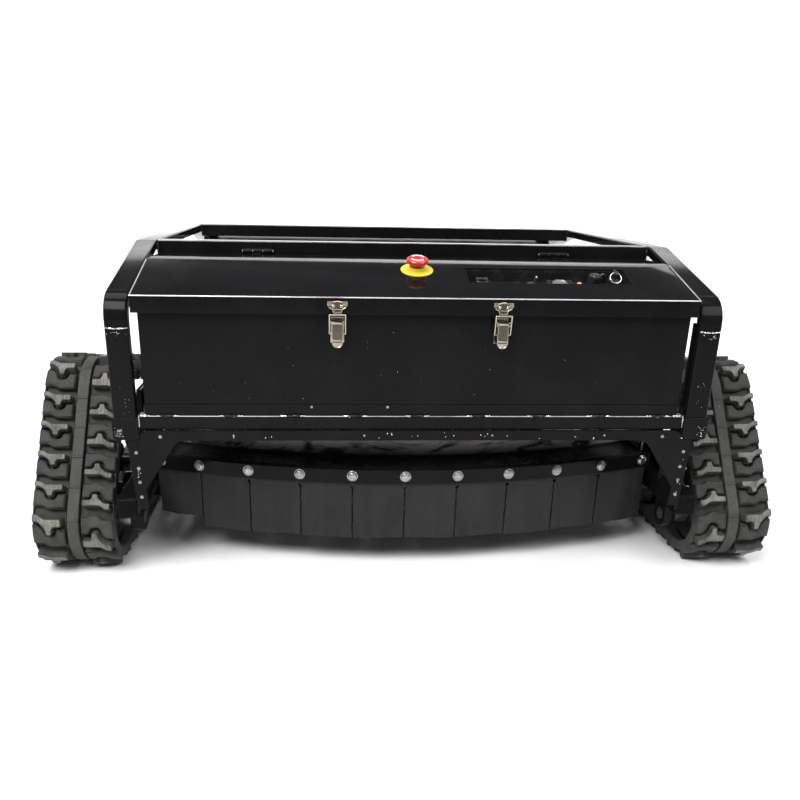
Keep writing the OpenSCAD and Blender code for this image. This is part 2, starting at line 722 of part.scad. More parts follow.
// A place on the loop, as [depth, height, angle of the outward normal]
function on_wrap(i, t) =
    let (n = run_n[(i + 2) % 3], w = loop_wheels[i], a = atan2(n[1], n[0]) - t / w[2] * 180 / PI)
        [w[0] + w[2] * cos(a), w[1] + w[2] * sin(a), a];
function on_run(i, t) =
    let (n = run_n[i], w = loop_wheels[i])
        [w[0] + w[2] * n[0] + t * n[1], w[1] + w[2] * n[1] - t * n[0], atan2(n[1], n[0])];
function loop_at(s, i = 0) =
    s < wrap_l[i] || (i == 2 && s >= loop_l) ? on_wrap(i, s)
    : s < wrap_l[i] + run_l[i] || i == 2 ? on_run(i, s - wrap_l[i])
    : loop_at(s - wrap_l[i] - run_l[i], i + 1);

// The area inside the loop, moved out from the pitch line by a distance
wrap_step_a = 7.5;
function loop_outline(d) = [for (i = wheel_ids)
    let (w = loop_wheels[i], from = run_n[(i + 2) % 3], whole = turn(from, run_n[i]),
         steps = ceil(whole / wrap_step_a), a = atan2(from[1], from[0]))
        for (j = [0:steps])
            [w[0] + (w[2] + d) * cos(a - whole * j / steps), w[1] + (w[2] + d) * sin(a - whole * j / steps)]];
module loop_area(d) { polygon(loop_outline(d)); }
module at_link(k) {
    place = loop_at((k * link_l + loop_l) % loop_l);
    translate([belt_x, place[0], place[1]]) rotate([place[2] - 90, 0, 0]) children();
}

// How deep lugs and horns are rooted in the belt
lug_root = 4.5;
// A tread lug: a bar with a slanted outer end and a short stem on one side
module tread_lug() {
    translate([0, 0, belt_t / 2 - lug_root]) linear_extrude(lug_h + lug_root)
        polygon([[19, -6], [35, -6], [35, -17], [48, -17], [48, -6], [64, -6], [70, 6], [19, 6]]);
}
module guide_horns() {
    for (e = [left, right]) on_side(e) translate([14, 0, 0]) rotate([90, 0, 90])
        linear_extrude(12) polygon([[-10, -belt_t / 2 + lug_root], [10, -belt_t / 2 + lug_root],
            [6, -belt_t / 2 - horn_h], [-6, -belt_t / 2 - horn_h]]);
}
groove_half_w = 13;
groove_d = 6;
module track_belt() {
    color([0.3, 0.3, 0.29]) {
        difference() {
            across([belt_x - belt_w / 2, belt_x + belt_w / 2]) loop_area(belt_t / 2);
            across([belt_x - belt_w / 2 - cut, belt_x + belt_w / 2 + cut]) loop_area(-belt_t / 2);
            across([belt_x - groove_half_w, belt_x + groove_half_w]) loop_area(-belt_t / 2 + groove_d);
        }
        for (k = [0:link_count - 1]) {
            at_link(k) tread_lug();
            at_link(k + 0.5) rotate([0, 0, 180]) tread_lug();
            at_link(k + 0.25) guide_horns();
        }
    }
}

// A spool with two rims that straddle the guide horns
module spool(rim_r, hub_r, bore_r, y, z) {
    difference() {
        union() {
            rod_x([belt_x - rim_out, belt_x + rim_out], hub_r, y, z);
            for (x = [belt_x - rim_out, belt_x + rim_in])
                rod_x([x, x + rim_out - rim_in], rim_r, y, z);
        }
        rod_x([belt_x - rim_out - cut, belt_x + rim_out + cut], bore_r, y, z);
    }
}
module near_idler_wheel() {
    color([0.1, 0.1, 0.1])
        spool(idler_rim_r, idler_hub_r, idler_axle_r + run_gap, near_idler[0], near_idler[1]);
}
module far_idler_wheel() {
    color([0.1, 0.1, 0.1])
        spool(idler_rim_r, idler_hub_r, idler_axle_r + run_gap, far_idler[0], far_idler[1]);
}
module roller(i) {
    color([0.1, 0.1, 0.1])
        spool(roller_r, roller_hub_r, roller_axle_r + run_gap, roller_y[i], roller_z);
}

// The sprocket: a toothed ring between the horns, a hub, two side rims and its shaft
sprocket_rim_r = 66;
sprocket_hub_r = 42;
tooth_half_w = 10.5;
module sprocket_wheel() {
    tooth_w = 16;
    color([0.1, 0.1, 0.1]) {
        translate([belt_x - tooth_half_w, sprocket[0], sprocket[1]]) rotate([90, 0, 90])
            linear_extrude(2 * tooth_half_w) {
                circle(tooth_root_r);
                for (i = [0:tooth_count - 1]) rotate((i + 0.5) * 360 / tooth_count)
                    polygon([[50, -tooth_w / 2 - 2], [68, -tooth_w / 2], [tooth_tip_r - 0.4, -5],
                             [tooth_tip_r - 0.4, 5], [68, tooth_w / 2], [50, tooth_w / 2 + 2]]);
            }
        rod_x([belt_x - 50, belt_x + 50], sprocket_hub_r, sprocket[0], sprocket[1]);
        for (x = [belt_x - 42, belt_x + rim_in])
            rod_x([x, x + 12], sprocket_rim_r, sprocket[0], sprocket[1]);
        rod_x([boss_end_x - 60, belt_x], idler_axle_r, sprocket[0], sprocket[1]);
    }
}

// Two gear motors, each with a boss that reaches through its mounting plate
module gear_motors() {
    color([0.2, 0.2, 0.21]) both_sides() difference() {
        union() {
            rod_x([motor_inner_x, motor_plate_x[0]], motor_r, sprocket[0], sprocket[1]);
            rod_x([motor_plate_x[0] - cut, boss_end_x], boss_r, sprocket[0], sprocket[1]);
        }
        rod_x([boss_end_x - 61, boss_end_x + cut], idler_axle_r + run_gap, sprocket[0], sprocket[1]);
    }
}

// A hollow beam with a bracket under it for each axle, a motor plate and a gusset at each leg
module track_frame() {
    color([0.12, 0.12, 0.13]) {
        difference() {
            block(frame_beam_x, frame_beam_y, frame_beam_z);
            block([frame_beam_x[0] + 3, frame_beam_x[1] - 3],
                [frame_beam_y[0] - cut, frame_beam_y[1] + cut],
                [frame_beam_z[0] + 3, frame_beam_z[1] - 3]);
        }
        axle_bracket(near_idler[0], near_idler[1], idler_axle_r, 26);
        for (y = roller_y) axle_bracket(y, roller_z, roller_axle_r, 18);
        mirrored_ends() across([frame_beam_x[0] - leg_t, frame_beam_x[0]])
            polygon([[leg_t, 140], [leg_t, 226], [22, 226], [95, frame_beam_z[1]], [95, 140]]);
        difference() {
            across(motor_plate_x) polygon([[sprocket[0] - 80, frame_beam_z[1]],
                [sprocket[0] - 52, sprocket[1] + 42], [sprocket[0] + 52, sprocket[1] + 42],
                [sprocket[0] + 80, frame_beam_z[1]]]);
            rod_x([motor_plate_x[0] - cut, motor_plate_x[1] + cut], boss_r + 0.3,
                sprocket[0], sprocket[1]);
        }
    }
}
module axle_bracket(y, z, bore_r, half_l) {
    difference() {
        union() {
            block(bracket_x, [y - half_l, y + half_l], [z, frame_beam_z[0]]);
            rod_x(bracket_x, half_l, y, z);
        }
        rod_x([bracket_x[0] - cut, bracket_x[1] + cut], bore_r, y, z);
    }
}

// Fixed axles, each with an inner collar and an outer washer
module axle(y, z, r, collar_r) {
    rod_x([bracket_x[0], belt_x + rim_out + 6], r, y, z);
    rod_x([bracket_x[1], belt_x - rim_out - 1], collar_r, y, z);
    rod_x([belt_x + rim_out + 1, belt_x + rim_out + 5], collar_r, y, z);
}
module wheel_axles() {
    color([0.5, 0.5, 0.5]) both_sides() {
        axle(near_idler[0], near_idler[1], idler_axle_r, 18);
        axle(far_idler[0], far_idler[1], idler_axle_r, 18);
        for (y = roller_y) axle(y, roller_z, roller_axle_r, 12);
    }
}

// The far idler's carrier and the screw that tightens the belt
module tensioners() {
    screw_z = 108;
    color([0.16, 0.16, 0.17]) both_sides() {
        axle_bracket(far_idler[0], far_idler[1], idler_axle_r, 26);
        rod_y([far_idler[0] - 150, far_idler[0] - 20], 7, (bracket_x[0] + bracket_x[1]) / 2, screw_z);
        translate([(bracket_x[0] + bracket_x[1]) / 2, far_idler[0] - 140, screw_z]) rotate([90, 0, 0])
            cylinder(h = 12, r = 13, $fn = 6);
    }
}

centred() on_side(left) side_tube();  // side_tube_left
centred() on_side(right) side_tube();  // side_tube_right
centred() tube_feet();
centred() near_top_rail();
centred() far_top_rail();
centred() rear_cover();
centred() front_beam();
centred() rear_beam();
centred() front_leg_plate();
centred() rear_leg_plate();
centred() floor_rails();
centred() floor_plate();
centred() control_box();
centred() box_front_panel();
centred() box_sill();
centred() battery();
centred() motor_controller();
centred() latch_bases();
centred() hinge_leaves();
centred() hinge_pins();
centred() mower_deck();
centred() deck_hangers();
centred() clamp_band();
centred() rubber_curtain();
centred() curtain_end_flap();
centred() band_bolts();
centred() on_side(left) track_frame();  // track_frame_left
centred() on_side(right) track_frame();  // track_frame_right
centred() on_side(left) track_belt();  // track_belt_left
centred() on_side(right) track_belt();  // track_belt_right
centred() gear_motors();
centred() wheel_axles();
centred() tensioners();
centred() on_side(left) sprocket_wheel();  // sprocket_left
centred() on_side(right) sprocket_wheel();  // sprocket_right
centred() on_side(left) near_idler_wheel();  // near_idler_left
centred() on_side(right) near_idler_wheel();  // near_idler_right
centred() on_side(left) far_idler_wheel();  // far_idler_left
centred() on_side(right) far_idler_wheel();  // far_idler_right
centred() on_side(left) roller(0);  // roller_left_1
centred() on_side(left) roller(1);  // roller_left_2
centred() on_side(left) roller(2);  // roller_left_3
centred() on_side(left) roller(3);  // roller_left_4
centred() on_side(right) roller(0);  // roller_right_1
centred() on_side(right) roller(1);  // roller_right_2
centred() on_side(right) roller(2);  // roller_right_3
centred() on_side(right) roller(3);  // roller_right_4
centred() lid();
centred() instrument_tray();
centred() stop_collar();
centred() panel_instruments();
centred() strike_plates();
centred() stop_button();
centred() ignition_key();
centred() toggle_lever();
centred() rocker_key();
centred() latch_lever(-latch_x);  // latch_lever_left
centred() latch_lever(latch_x);  // latch_lever_right
centred() latch_bail(-latch_x);  // latch_bail_left
centred() latch_bail(latch_x);  // latch_bail_right
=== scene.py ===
import json
import math
import random

import bpy
import bmesh
from mathutils import Matrix, Vector


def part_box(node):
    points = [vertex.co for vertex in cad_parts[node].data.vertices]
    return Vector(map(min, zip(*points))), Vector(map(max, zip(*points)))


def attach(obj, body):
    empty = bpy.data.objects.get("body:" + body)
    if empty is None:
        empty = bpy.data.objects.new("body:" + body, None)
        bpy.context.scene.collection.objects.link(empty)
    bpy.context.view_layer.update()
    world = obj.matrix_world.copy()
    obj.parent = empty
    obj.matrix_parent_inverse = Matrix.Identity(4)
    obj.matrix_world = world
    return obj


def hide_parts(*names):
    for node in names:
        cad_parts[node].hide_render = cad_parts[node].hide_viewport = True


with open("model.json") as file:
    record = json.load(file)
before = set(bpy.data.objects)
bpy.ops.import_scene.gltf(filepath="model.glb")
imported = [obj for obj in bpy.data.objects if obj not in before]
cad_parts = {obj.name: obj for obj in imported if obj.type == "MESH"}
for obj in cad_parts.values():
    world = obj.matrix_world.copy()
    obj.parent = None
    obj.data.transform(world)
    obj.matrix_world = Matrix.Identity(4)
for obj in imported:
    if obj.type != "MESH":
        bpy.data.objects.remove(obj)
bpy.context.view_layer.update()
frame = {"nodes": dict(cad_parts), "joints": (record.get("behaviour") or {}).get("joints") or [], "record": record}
joints = {j["name"]: j for j in frame["joints"]}
slot_of = {s["node"]: s["material_slot"] for s in frame["record"]["subparts"]}
body_of_node = {n: b for b, ns in frame["record"]["behaviour"]["bodies"].items() for n in ns}
scene = bpy.context.scene
MM = 0.001

# Local millimetres: X across, Y from the near face of the side tubes, Z up
near_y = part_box("side_tube_left")[0].y


def at(x, y, z):
    return Vector((x * MM, near_y + y * MM, z * MM))


# ---- camera, at the photograph's viewing angle ----

def make_camera(place, yaw, pitch, roll, focal, middle, image=800):
    cy, sy, cp, sp = math.cos(yaw), math.sin(yaw), math.cos(pitch), math.sin(pitch)
    forward = Vector((sy * cp, cy * cp, -sp))
    level = Vector((cy, -sy, 0))
    rise = level.cross(forward)
    right = math.cos(roll) * level + math.sin(roll) * rise
    up = -math.sin(roll) * level + math.cos(roll) * rise
    data = bpy.data.cameras.new("camera")
    data.sensor_width = 36
    data.lens = 36 * focal / image
    data.shift_x = (image / 2 - middle[0]) / image
    data.shift_y = (middle[1] - image / 2) / image
    data.clip_start, data.clip_end = 0.05, 60
    cam = bpy.data.objects.new("camera", data)
    scene.collection.objects.link(cam)
    turn = (right, up, -forward)
    m = [[turn[c][r] for c in range(3)] + [place[r]] for r in range(3)] + [[0, 0, 0, 1]]
    cam.matrix_world = Matrix(m)
    scene.camera = cam


make_camera(at(-157.8, -1337.1, 729.9), math.radians(3.777), math.radians(19.99),
            math.radians(1.121), 774.4, (377.8, 462.1))

# ---- node helpers for materials ----

class Look:
    def __init__(self, name, **plain):
        self.m = bpy.data.materials.new(name)
        self.m.use_nodes = True
        self.t = self.m.node_tree
        self.t.nodes.clear()
        out = self.t.nodes.new("ShaderNodeOutputMaterial")
        self.b = self.t.nodes.new("ShaderNodeBsdfPrincipled")
        self.t.links.new(self.b.outputs[0], out.inputs[0])
        self.place = self.t.nodes.new("ShaderNodeTexCoord").outputs["Object"]
        for k, v in plain.items():
            self.b.inputs[k.replace("_", " ")].default_value = v

    def put(self, node, name, value):
        s = node.inputs[name]
        if isinstance(value, bpy.types.NodeSocket):
            self.t.links.new(value, s)
        elif isinstance(value, (tuple, list)) and s.type == "RGBA":
            s.default_value = (*value[:3], 1)
        else:
            s.default_value = value

    def set(self, name, value):
        self.put(self.b, name, value)
        return self

    def noise(self, scale, detail=3, rough=0.5, stretch=(1, 1, 1), warp=0):
        mp = self.t.nodes.new("ShaderNodeMapping")
        self.t.links.new(self.place, mp.inputs[0])
        mp.inputs["Scale"].default_value = stretch
        n = self.t.nodes.new("ShaderNodeTexNoise")
        self.t.links.new(mp.outputs[0], n.inputs["Vector"])
        for k, v in (("Scale", scale), ("Detail", detail), ("Roughness", rough), ("Distortion", warp)):
            n.inputs[k].default_value = v
        return n.outputs[0]

    def wave(self, scale, axis="X", warp=0):
        n = self.t.nodes.new("ShaderNodeTexWave")
        n.bands_direction = axis
        self.t.links.new(self.place, n.inputs["Vector"])
        n.inputs["Scale"].default_value = scale
        n.inputs["Distortion"].default_value = warp
        return n.outputs[1]

    def ramp(self, fac, *stops):
        n = self.t.nodes.new("ShaderNodeValToRGB")
        self.t.links.new(fac, n.inputs[0])
        while len(n.color_ramp.elements) < len(stops):
            n.color_ramp.elements.new(0.5)
        for e, (p, c) in zip(n.color_ramp.elements, stops):
            e.position = p
            e.color = (c, c, c, 1) if isinstance(c, (int, float)) else (*c, 1)
        return n.outputs[0]

    def mix(self, fac, a, b, how="MIX"):
        n = self.t.nodes.new("ShaderNodeMix")
        n.data_type = "RGBA"
        n.blend_type = how
        for s, v in ((n.inputs[0], fac), (n.inputs[6], a), (n.inputs[7], b)):
            if isinstance(v, bpy.types.NodeSocket):
                self.t.links.new(v, s)
            else:
                s.default_value = v if isinstance(v, (int, float)) else (*v, 1)
        return n.outputs[2]

    def calc(self, op, a, b=0.0):
        n = self.t.nodes.new("ShaderNodeMath")
        n.operation = op
        for i, v in enumerate((a, b)):
            if isinstance(v, bpy.types.NodeSocket):
                self.t.links.new(v, n.inputs[i])
            else:
                n.inputs[i].default_value = v
        return n.outputs[0]

    def bump(self, height, strength, distance=0.001, under=None):
        n = self.t.nodes.new("ShaderNodeBump")
        n.inputs["Strength"].default_value = strength
        n.inputs["Distance"].default_value = distance
        self.t.links.new(height, n.inputs["Height"])
        if under is not None:
            self.t.links.new(under, n.inputs["Normal"])
        self.t.links.new(n.outputs[0], self.b.inputs["Normal"])
        return n.outputs[0]


def paint(name, base=(0.0045, 0.0045, 0.005), rough=(0.08, 0.24), dust=0.02, peel=0.05, level=0.07):
    k = Look(name, Specular_IOR_Level=level)
    spots = k.ramp(k.noise(9, 6, 0.65, warp=0.4), (0.45, 0), (0.75, 1))
    fine = k.ramp(k.noise(420, 3, 0.6), (0.62, 0), (0.72, 1))
    scratch = k.ramp(k.noise(3, 8, 0.75, stretch=(6, 60, 60)), (0.69, 0), (0.71, 1))
    colour = k.mix(k.calc("MULTIPLY", spots, dust), base, (0.16, 0.155, 0.145))
    colour = k.mix(k.calc("MULTIPLY", fine, dust * 0.8), colour, (0.3, 0.29, 0.27))
    colour = k.mix(k.calc("MULTIPLY", scratch, dust * 2.2), colour, (0.2, 0.2, 0.2))
    k.set("Base Color", colour)
    k.set("Roughness", k.ramp(k.calc("ADD", k.calc("MULTIPLY", spots, 0.6), k.calc("MULTIPLY", fine, 0.4)),
                              (0, rough[0]), (1, rough[1])))
    k.bump(k.noise(230, 2, 0.4), peel, 0.0006)
    return k.m


def rubber(name, dark, light, rough=(0.6, 0.9), grain=0.35, streak=(1, 1, 1), scale=14, tops=None):
    k = Look(name, Specular_IOR_Level=0.35)
    big = k.ramp(k.noise(scale, 7, 0.66, stretch=streak, warp=0.6), (0.35, 0), (0.72, 1))
    small = k.ramp(k.noise(scale * 11, 4, 0.7), (0.4, 0), (0.75, 1))
    fac = k.calc("ADD", k.calc("MULTIPLY", big, 0.7), k.calc("MULTIPLY", small, 0.35))
    k.set("Base Color", k.mix(fac, dark, light))
    k.set("Roughness", k.ramp(fac, (0, rough[0]), (1, rough[1])))
    height = k.noise(700, 3, 0.7)
    if tops:
        height = k.calc("ADD", k.calc("MULTIPLY", k.wave(tops, "X", 0.6), 1.4), height)
    k.bump(height, grain, 0.0009)
    return k.m


def metal(name, colour, rough=(0.15, 0.4), stain=(0.3, 0.27, 0.22), brush=(1, 1, 1), amount=0.3,
          metallic=1.0):
    k = Look(name, Metallic=metallic)
    spots = k.ramp(k.noise(70, 6, 0.7, stretch=brush), (0.45, 0), (0.8, 1))
    k.set("Base Color", k.mix(k.calc("MULTIPLY", spots, amount), colour, stain))
    k.set("Roughness", k.ramp(spots, (0, rough[0]), (1, rough[1])))
    k.bump(k.noise(900, 3, 0.6, stretch=brush), 0.12, 0.0004)
    return k.m


def plastic(name, colour, rough=(0.25, 0.5), grain=0.15, wear=(0.3, 0.3, 0.3), amount=0.08, coat=0.0,
            level=0.5):
    k = Look(name, Coat_Weight=coat, Coat_Roughness=0.08, Specular_IOR_Level=level)
    spots = k.ramp(k.noise(60, 6, 0.7), (0.5, 0), (0.8, 1))
    k.set("Base Color", k.mix(k.calc("MULTIPLY", spots, amount), colour, wear))
    k.set("Roughness", k.ramp(spots, (0, rough[0]), (1, rough[1])))
    k.bump(k.noise(1100, 2, 0.5), grain, 0.0004)
    return k.m


def deck_look():
    """Glossy black, with a grey-olive painted reflection and dark blotches on the curved front wall and the top.
    """
    k = Look("deck_paint", Specular_IOR_Level=0.35)
    split = k.t.nodes.new("ShaderNodeSeparateXYZ")
    k.t.links.new(k.place, split.inputs[0])
    # upper part (front wall and top): painted reflection in grey-olive with dark blotches; below it stays black
    high = k.ramp(k.calc("MULTIPLY", split.outputs[2], 4), (0.835, 0), (0.85, 1))
    reflection_blotches = k.ramp(k.noise(7, 7, 0.7, stretch=(1, 1, 2.5), warp=1.2), (0.42, 0), (0.52, 1))
    painted_reflection_colour = k.mix(reflection_blotches, (0.012, 0.012, 0.010), k.mix(k.ramp(k.noise(3, 4), (0.4, 0), (0.7, 1)),
                                                      (0.10, 0.095, 0.075), (0.26, 0.25, 0.21)))
    k.set("Base Color", k.mix(high, (0.010, 0.010, 0.010), painted_reflection_colour))
    k.set("Roughness", k.ramp(reflection_blotches, (0, 0.12), (1, 0.3)))
    k.bump(k.noise(160, 3, 0.5), 0.1, 0.0006)
    return k.m


LOOKS = {
    "gloss_black_paint": paint("gloss_black_paint"),
    "deck_paint": deck_look(),
    "track_rubber": rubber("track_rubber", (0.007, 0.007, 0.0065), (0.060, 0.059, 0.054), scale=26),
    "curtain_rubber": rubber("curtain_rubber", (0.0015, 0.0015, 0.0018), (0.024, 0.0235, 0.0225),
                             streak=(2, 2, 0.5), scale=11),
    "zinc_steel": metal("zinc_steel", (0.36, 0.36, 0.35), (0.3, 0.5), (0.06, 0.06, 0.055), amount=0.6),
    "nickel_plate": metal("nickel_plate", (0.44, 0.39, 0.32), (0.15, 0.35), (0.2, 0.17, 0.12)),
    "cast_wheel": paint("cast_wheel", (0.004, 0.004, 0.004), (0.15, 0.4), 0.03, 0.3, 0.1),
    "motor_black": paint("motor_black", (0.004, 0.004, 0.0045), (0.2, 0.4), 0.02, 0.15, 0.12),
    "battery_case": plastic("battery_case", (0.05, 0.052, 0.06)),
    "controller_alloy": metal("controller_alloy", (0.4, 0.4, 0.42), (0.3, 0.5)),
    "black_plastic": plastic("black_plastic", (0.012, 0.012, 0.012)),
    "stop_yellow": plastic("stop_yellow", (0.62, 0.50, 0.04), (0.3, 0.5)),
    "stop_red": plastic("stop_red", (0.55, 0.012, 0.025), (0.2, 0.35), 0.05, (0.7, 0.2, 0.2), 0.1, 0.5),
}
lug_top = rubber("lug_top", (0.05, 0.048, 0.042), (0.24, 0.235, 0.21), tops=42, scale=30, grain=0.9)
band_rubber = rubber("band_rubber", (0.016, 0.016, 0.0155), (0.075, 0.073, 0.068), scale=20, grain=0.25)
# a darker copy of the nickel: painted shade on the flat faces of the latch levers and strikes
nickel_painted_shade = metal("nickel_painted_shade", (0.13, 0.115, 0.09), (0.2, 0.4), (0.05, 0.045, 0.035))
nick_dark = rubber("nick_dark", (0.006, 0.006, 0.006), (0.012, 0.012, 0.012))
weld_metal = metal("weld_metal", (0.75, 0.74, 0.72), (0.15, 0.45), (0.03, 0.03, 0.03), amount=0.7)
paint_weld = paint("paint_weld", (0.006, 0.006, 0.0065), (0.12, 0.3), 0.06, 0.3, 0.3)


def painted_highlight_look(name, bright, highlight_break):
    """A folded or rolled edge with a painted highlight: a bright metallic colour, broken into patches by noise."""
    k = Look(name, Metallic=0.7, Specular_IOR_Level=0.8)
    part = k.ramp(k.noise(5, 6, 0.7, stretch=(1, 4, 4)), (highlight_break, 0.0), (highlight_break + 0.22, 1.0))
    k.set("Base Color", k.mix(part, (0.02, 0.02, 0.021), bright))
    k.set("Roughness", k.ramp(part, (0, 0.3), (1, 0.38)))
    k.bump(k.noise(300, 2, 0.5), 0.1, 0.0004)
    return k.m


# painted highlight colours for the lid's front fold, the rails' top edges and the front beam's top edge
fold_edge_painted_highlight = painted_highlight_look("fold_edge_painted_highlight", (0.62, 0.61, 0.57), 0.26)
rail_edge_painted_highlight = painted_highlight_look("rail_edge_painted_highlight", (0.26, 0.26, 0.27), 0.4)
white_print = plastic("white_print", (0.75, 0.72, 0.7))
# near black with almost no reflection: painted shade, for the beam plugs and the strip in the box's right gap
painted_shade_black = plastic("painted_shade_black", (0.003, 0.003, 0.003), amount=0.01, level=0.04)
label_grey = plastic("label_grey", (0.16, 0.155, 0.14), (0.4, 0.6))
key_black = plastic("key_black", (0.01, 0.01, 0.01), (0.3, 0.5))
lamp_pink = plastic("lamp_pink", (0.6, 0.2, 0.14))
# near black for the bolts' hex sockets: painted shade in the recess
socket_painted_shade = plastic("socket_painted_shade", (0.008, 0.008, 0.008))

# ---- mesh helpers ----

def piece(name, verts, faces, looks, body="chassis", replaces=(), slot=None, index=None, sharp=35, mods=True):
    me = bpy.data.meshes.new(name)
    me.from_pydata([tuple(v) for v in verts], [], faces)
    me.validate()
    bm = bmesh.new()
    bm.from_mesh(me)
    bmesh.ops.recalc_face_normals(bm, faces=bm.faces)
    bm.to_mesh(me)
    bm.free()
    return place_mesh(name, me, looks, body, replaces, slot, index, sharp, mods)


def place_mesh(name, me, looks, body, replaces=(), slot=None, index=None, sharp=35, mods=True):
    looks = looks if isinstance(looks, (list, tuple)) else [looks]
    me.materials.clear()
    for m in looks:
        me.materials.append(m)
    if index is not None:
        me.polygons.foreach_set("material_index", index)
    me.polygons.foreach_set("use_smooth", [True] * len(me.polygons))
    me.set_sharp_from_angle(angle=math.radians(sharp))
    o = bpy.data.objects.new(name, me)
    scene.collection.objects.link(o)
    if mods:
        w = o.modifiers.new("even_normals", "WEIGHTED_NORMAL")
        w.keep_sharp = True
    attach(o, body)
    if replaces:
        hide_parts(*replaces)
    return o


def clean_copy(node, flat=1.0):
    """The CAD node's mesh with its triangles joined into flat faces, as a bmesh."""
    bm = bmesh.new()
    bm.from_mesh(frame["nodes"][node].data)
    bmesh.ops.remove_doubles(bm, verts=bm.verts, dist=3e-6)
    bmesh.ops.dissolve_limit(bm, angle_limit=math.radians(flat), verts=bm.verts, edges=bm.edges)
    return bm


def long_edge(least):
    """Picks straight edges across the machine that are at least that long, in metres."""
    return lambda e: abs(e.verts[0].co.x - e.verts[1].co.x) > least


def rounded(node, width=1.0, segments=2, look=None, pick=None, limit=28, name=None, body=None, first=None):
    """A copy of a CAD node whose outward corners are rounded, standing for the node."""
    bm = clean_copy(node)
    bevel_highlight = None
    # first: a wider bevel on the chosen edges, given material 1, a painted highlight look
    if first:
        chosen, wide, steps, bevel_highlight = first
        edges = [e for e in bm.edges if len(e.link_faces) == 2 and e.is_convex
                 and e.calc_face_angle(0) > math.radians(10) and chosen(e)]
        bmesh.ops.bevel(bm, geom=edges, offset=wide * MM, segments=steps, profile=0.5, affect="EDGES",
                        clamp_overlap=False, material=1)
    edges = [e for e in bm.edges if len(e.link_faces) == 2 and e.calc_face_angle(0) > math.radians(limit)
             and e.is_convex and (pick is None or pick(e))]
    if edges:
        bmesh.ops.bevel(bm, geom=edges, offset=width * MM, segments=segments, profile=0.5,
                        affect="EDGES", clamp_overlap=False)
    me = bpy.data.meshes.new(node + "_finish")
    bm.to_mesh(me)
    bm.free()
    if "custom_normal" in me.attributes:
        me.attributes.remove(me.attributes["custom_normal"])
    look = look or LOOKS[slot_of[node]]
    return place_mesh(name or node + "_finish", me, [look, bevel_highlight] if bevel_highlight else look,
                      body or body_of_node[node], [node], slot_of[node])


class Mesh:
    """Collects closed shapes for one piece."""

    def __init__(self):
        self.v, self.f, self.m = [], [], []

    def add(self, verts, faces, look=0):
        n = len(self.v)
        self.v += [Vector(p) for p in verts]
        self.f += [[n + i for i in f] for f in faces]
        self.m += [look] * len(faces) if isinstance(look, int) else list(look)

    def rings(self, rings, look=0, cap_look=None, closed=False):
        """Joins rings of equal length into a skin, capped at both ends unless it closes on itself."""
        k, verts, faces, marks = len(rings[0]), [p for r in rings for p in r], [], []
        pairs = list(zip(range(len(rings)), range(1, len(rings)))) + ([(len(rings) - 1, 0)] if closed else [])
        for a, b in pairs:
            for i in range(k):
                j = (i + 1) % k
                faces.append([a * k + i, a * k + j, b * k + j, b * k + i])
                marks.append(look)
        if not closed:
            faces += [list(range(k))[::-1], [(len(rings) - 1) * k + i for i in range(k)]]
            marks += [look, look if cap_look is None else cap_look]
        self.add(verts, faces, marks)

    def prism(self, outline, levels, put, look=0, cap_look=None):
        """A plate of that outline: each level is (height, inset), and put places (a, b, height)."""
        self.rings([[put(a, b, h) for a, b in inset(outline, d)] for h, d in levels], look, cap_look)

    def lathe(self, rings, put, n=32, look=0, cap_look=None):
        """Turned shape: each ring is (radius, height), or (radius, height, sides) for a polygon ring."""
        made = []
        for r in rings:
            ring = []
            for i in range(n):
                a = 2 * math.pi * i / n
                rr = max(r[0], 0.02)
                if len(r) > 2:
                    s = math.pi / r[2]
                    rr *= math.cos(s) / math.cos((a % (2 * s)) - s)
                ring.append(put(rr * math.cos(a), rr * math.sin(a), r[1]))
            made.append(ring)
        self.rings(made, look, cap_look)

    def tube(self, path, r, n=12, look=0, closed=False):
        """A round tube along points in metres; r is in millimetres, or one for each point."""
        made, count = [], len(path)
        side = None
        for i, p in enumerate(path):
            a = path[(i - 1) % count] if closed or i else path[0]
            b = path[(i + 1) % count] if closed or i < count - 1 else path[-1]
            d = (b - a).normalized()
            if side is None:
                side = d.orthogonal().normalized()
            side = (side - d * side.dot(d)).normalized()
            up = d.cross(side)
            rr = (r[i] if isinstance(r, (list, tuple)) else r) * MM
            made.append([p + side * rr * math.cos(2 * math.pi * j / n)
                         + up * rr * math.sin(2 * math.pi * j / n)
                         for j in range(n)])
        self.rings(made, look, closed=closed)

    def make(self, name, looks, body="chassis", replaces=(), slot=None, sharp=35, mods=True):
        return piece(name, self.v, self.f, looks, body, replaces, slot, self.m, sharp, mods)


def inset(points, d):
    if abs(d) < 1e-9:
        return list(points)
    area = sum(a[0] * b[1] - b[0] * a[1] for a, b in zip(points, points[1:] + points[:1]))
    d = d if area > 0 else -d
    out = []
    for i, p in enumerate(points):
        a, b = Vector(points[i - 1]), Vector(points[(i + 1) % len(points)])
        p = Vector(p)
        e, g = (p - a).normalized(), (b - p).normalized()
        n1, n2 = Vector((-e.y, e.x)), Vector((-g.y, g.x))
        m = (n1 + n2) / max(0.35, 1 + n1.dot(n2))
        out.append(tuple(p + m * d))
    return out


def soft(points, size, steps=3):
    """The outline with its corners rounded; size is one number or one for each corner."""
    out, n = [], len(points)
    for i, b in enumerate(points):
        a, b, c = Vector(points[i - 1]), Vector(b), Vector(points[(i + 1) % n])
        s = size[i] if isinstance(size, (list, tuple)) else size
        s = min(s, 0.45 * (a - b).length, 0.45 * (c - b).length)
        if s < 0.01:
            out.append(tuple(b))
            continue
        p, q = b + (a - b).normalized() * s, b + (c - b).normalized() * s
        for k in range(steps + 1):
            t = k / steps
            out.append(tuple(p * (1 - t) ** 2 + b * 2 * t * (1 - t) + q * t * t))
    return out


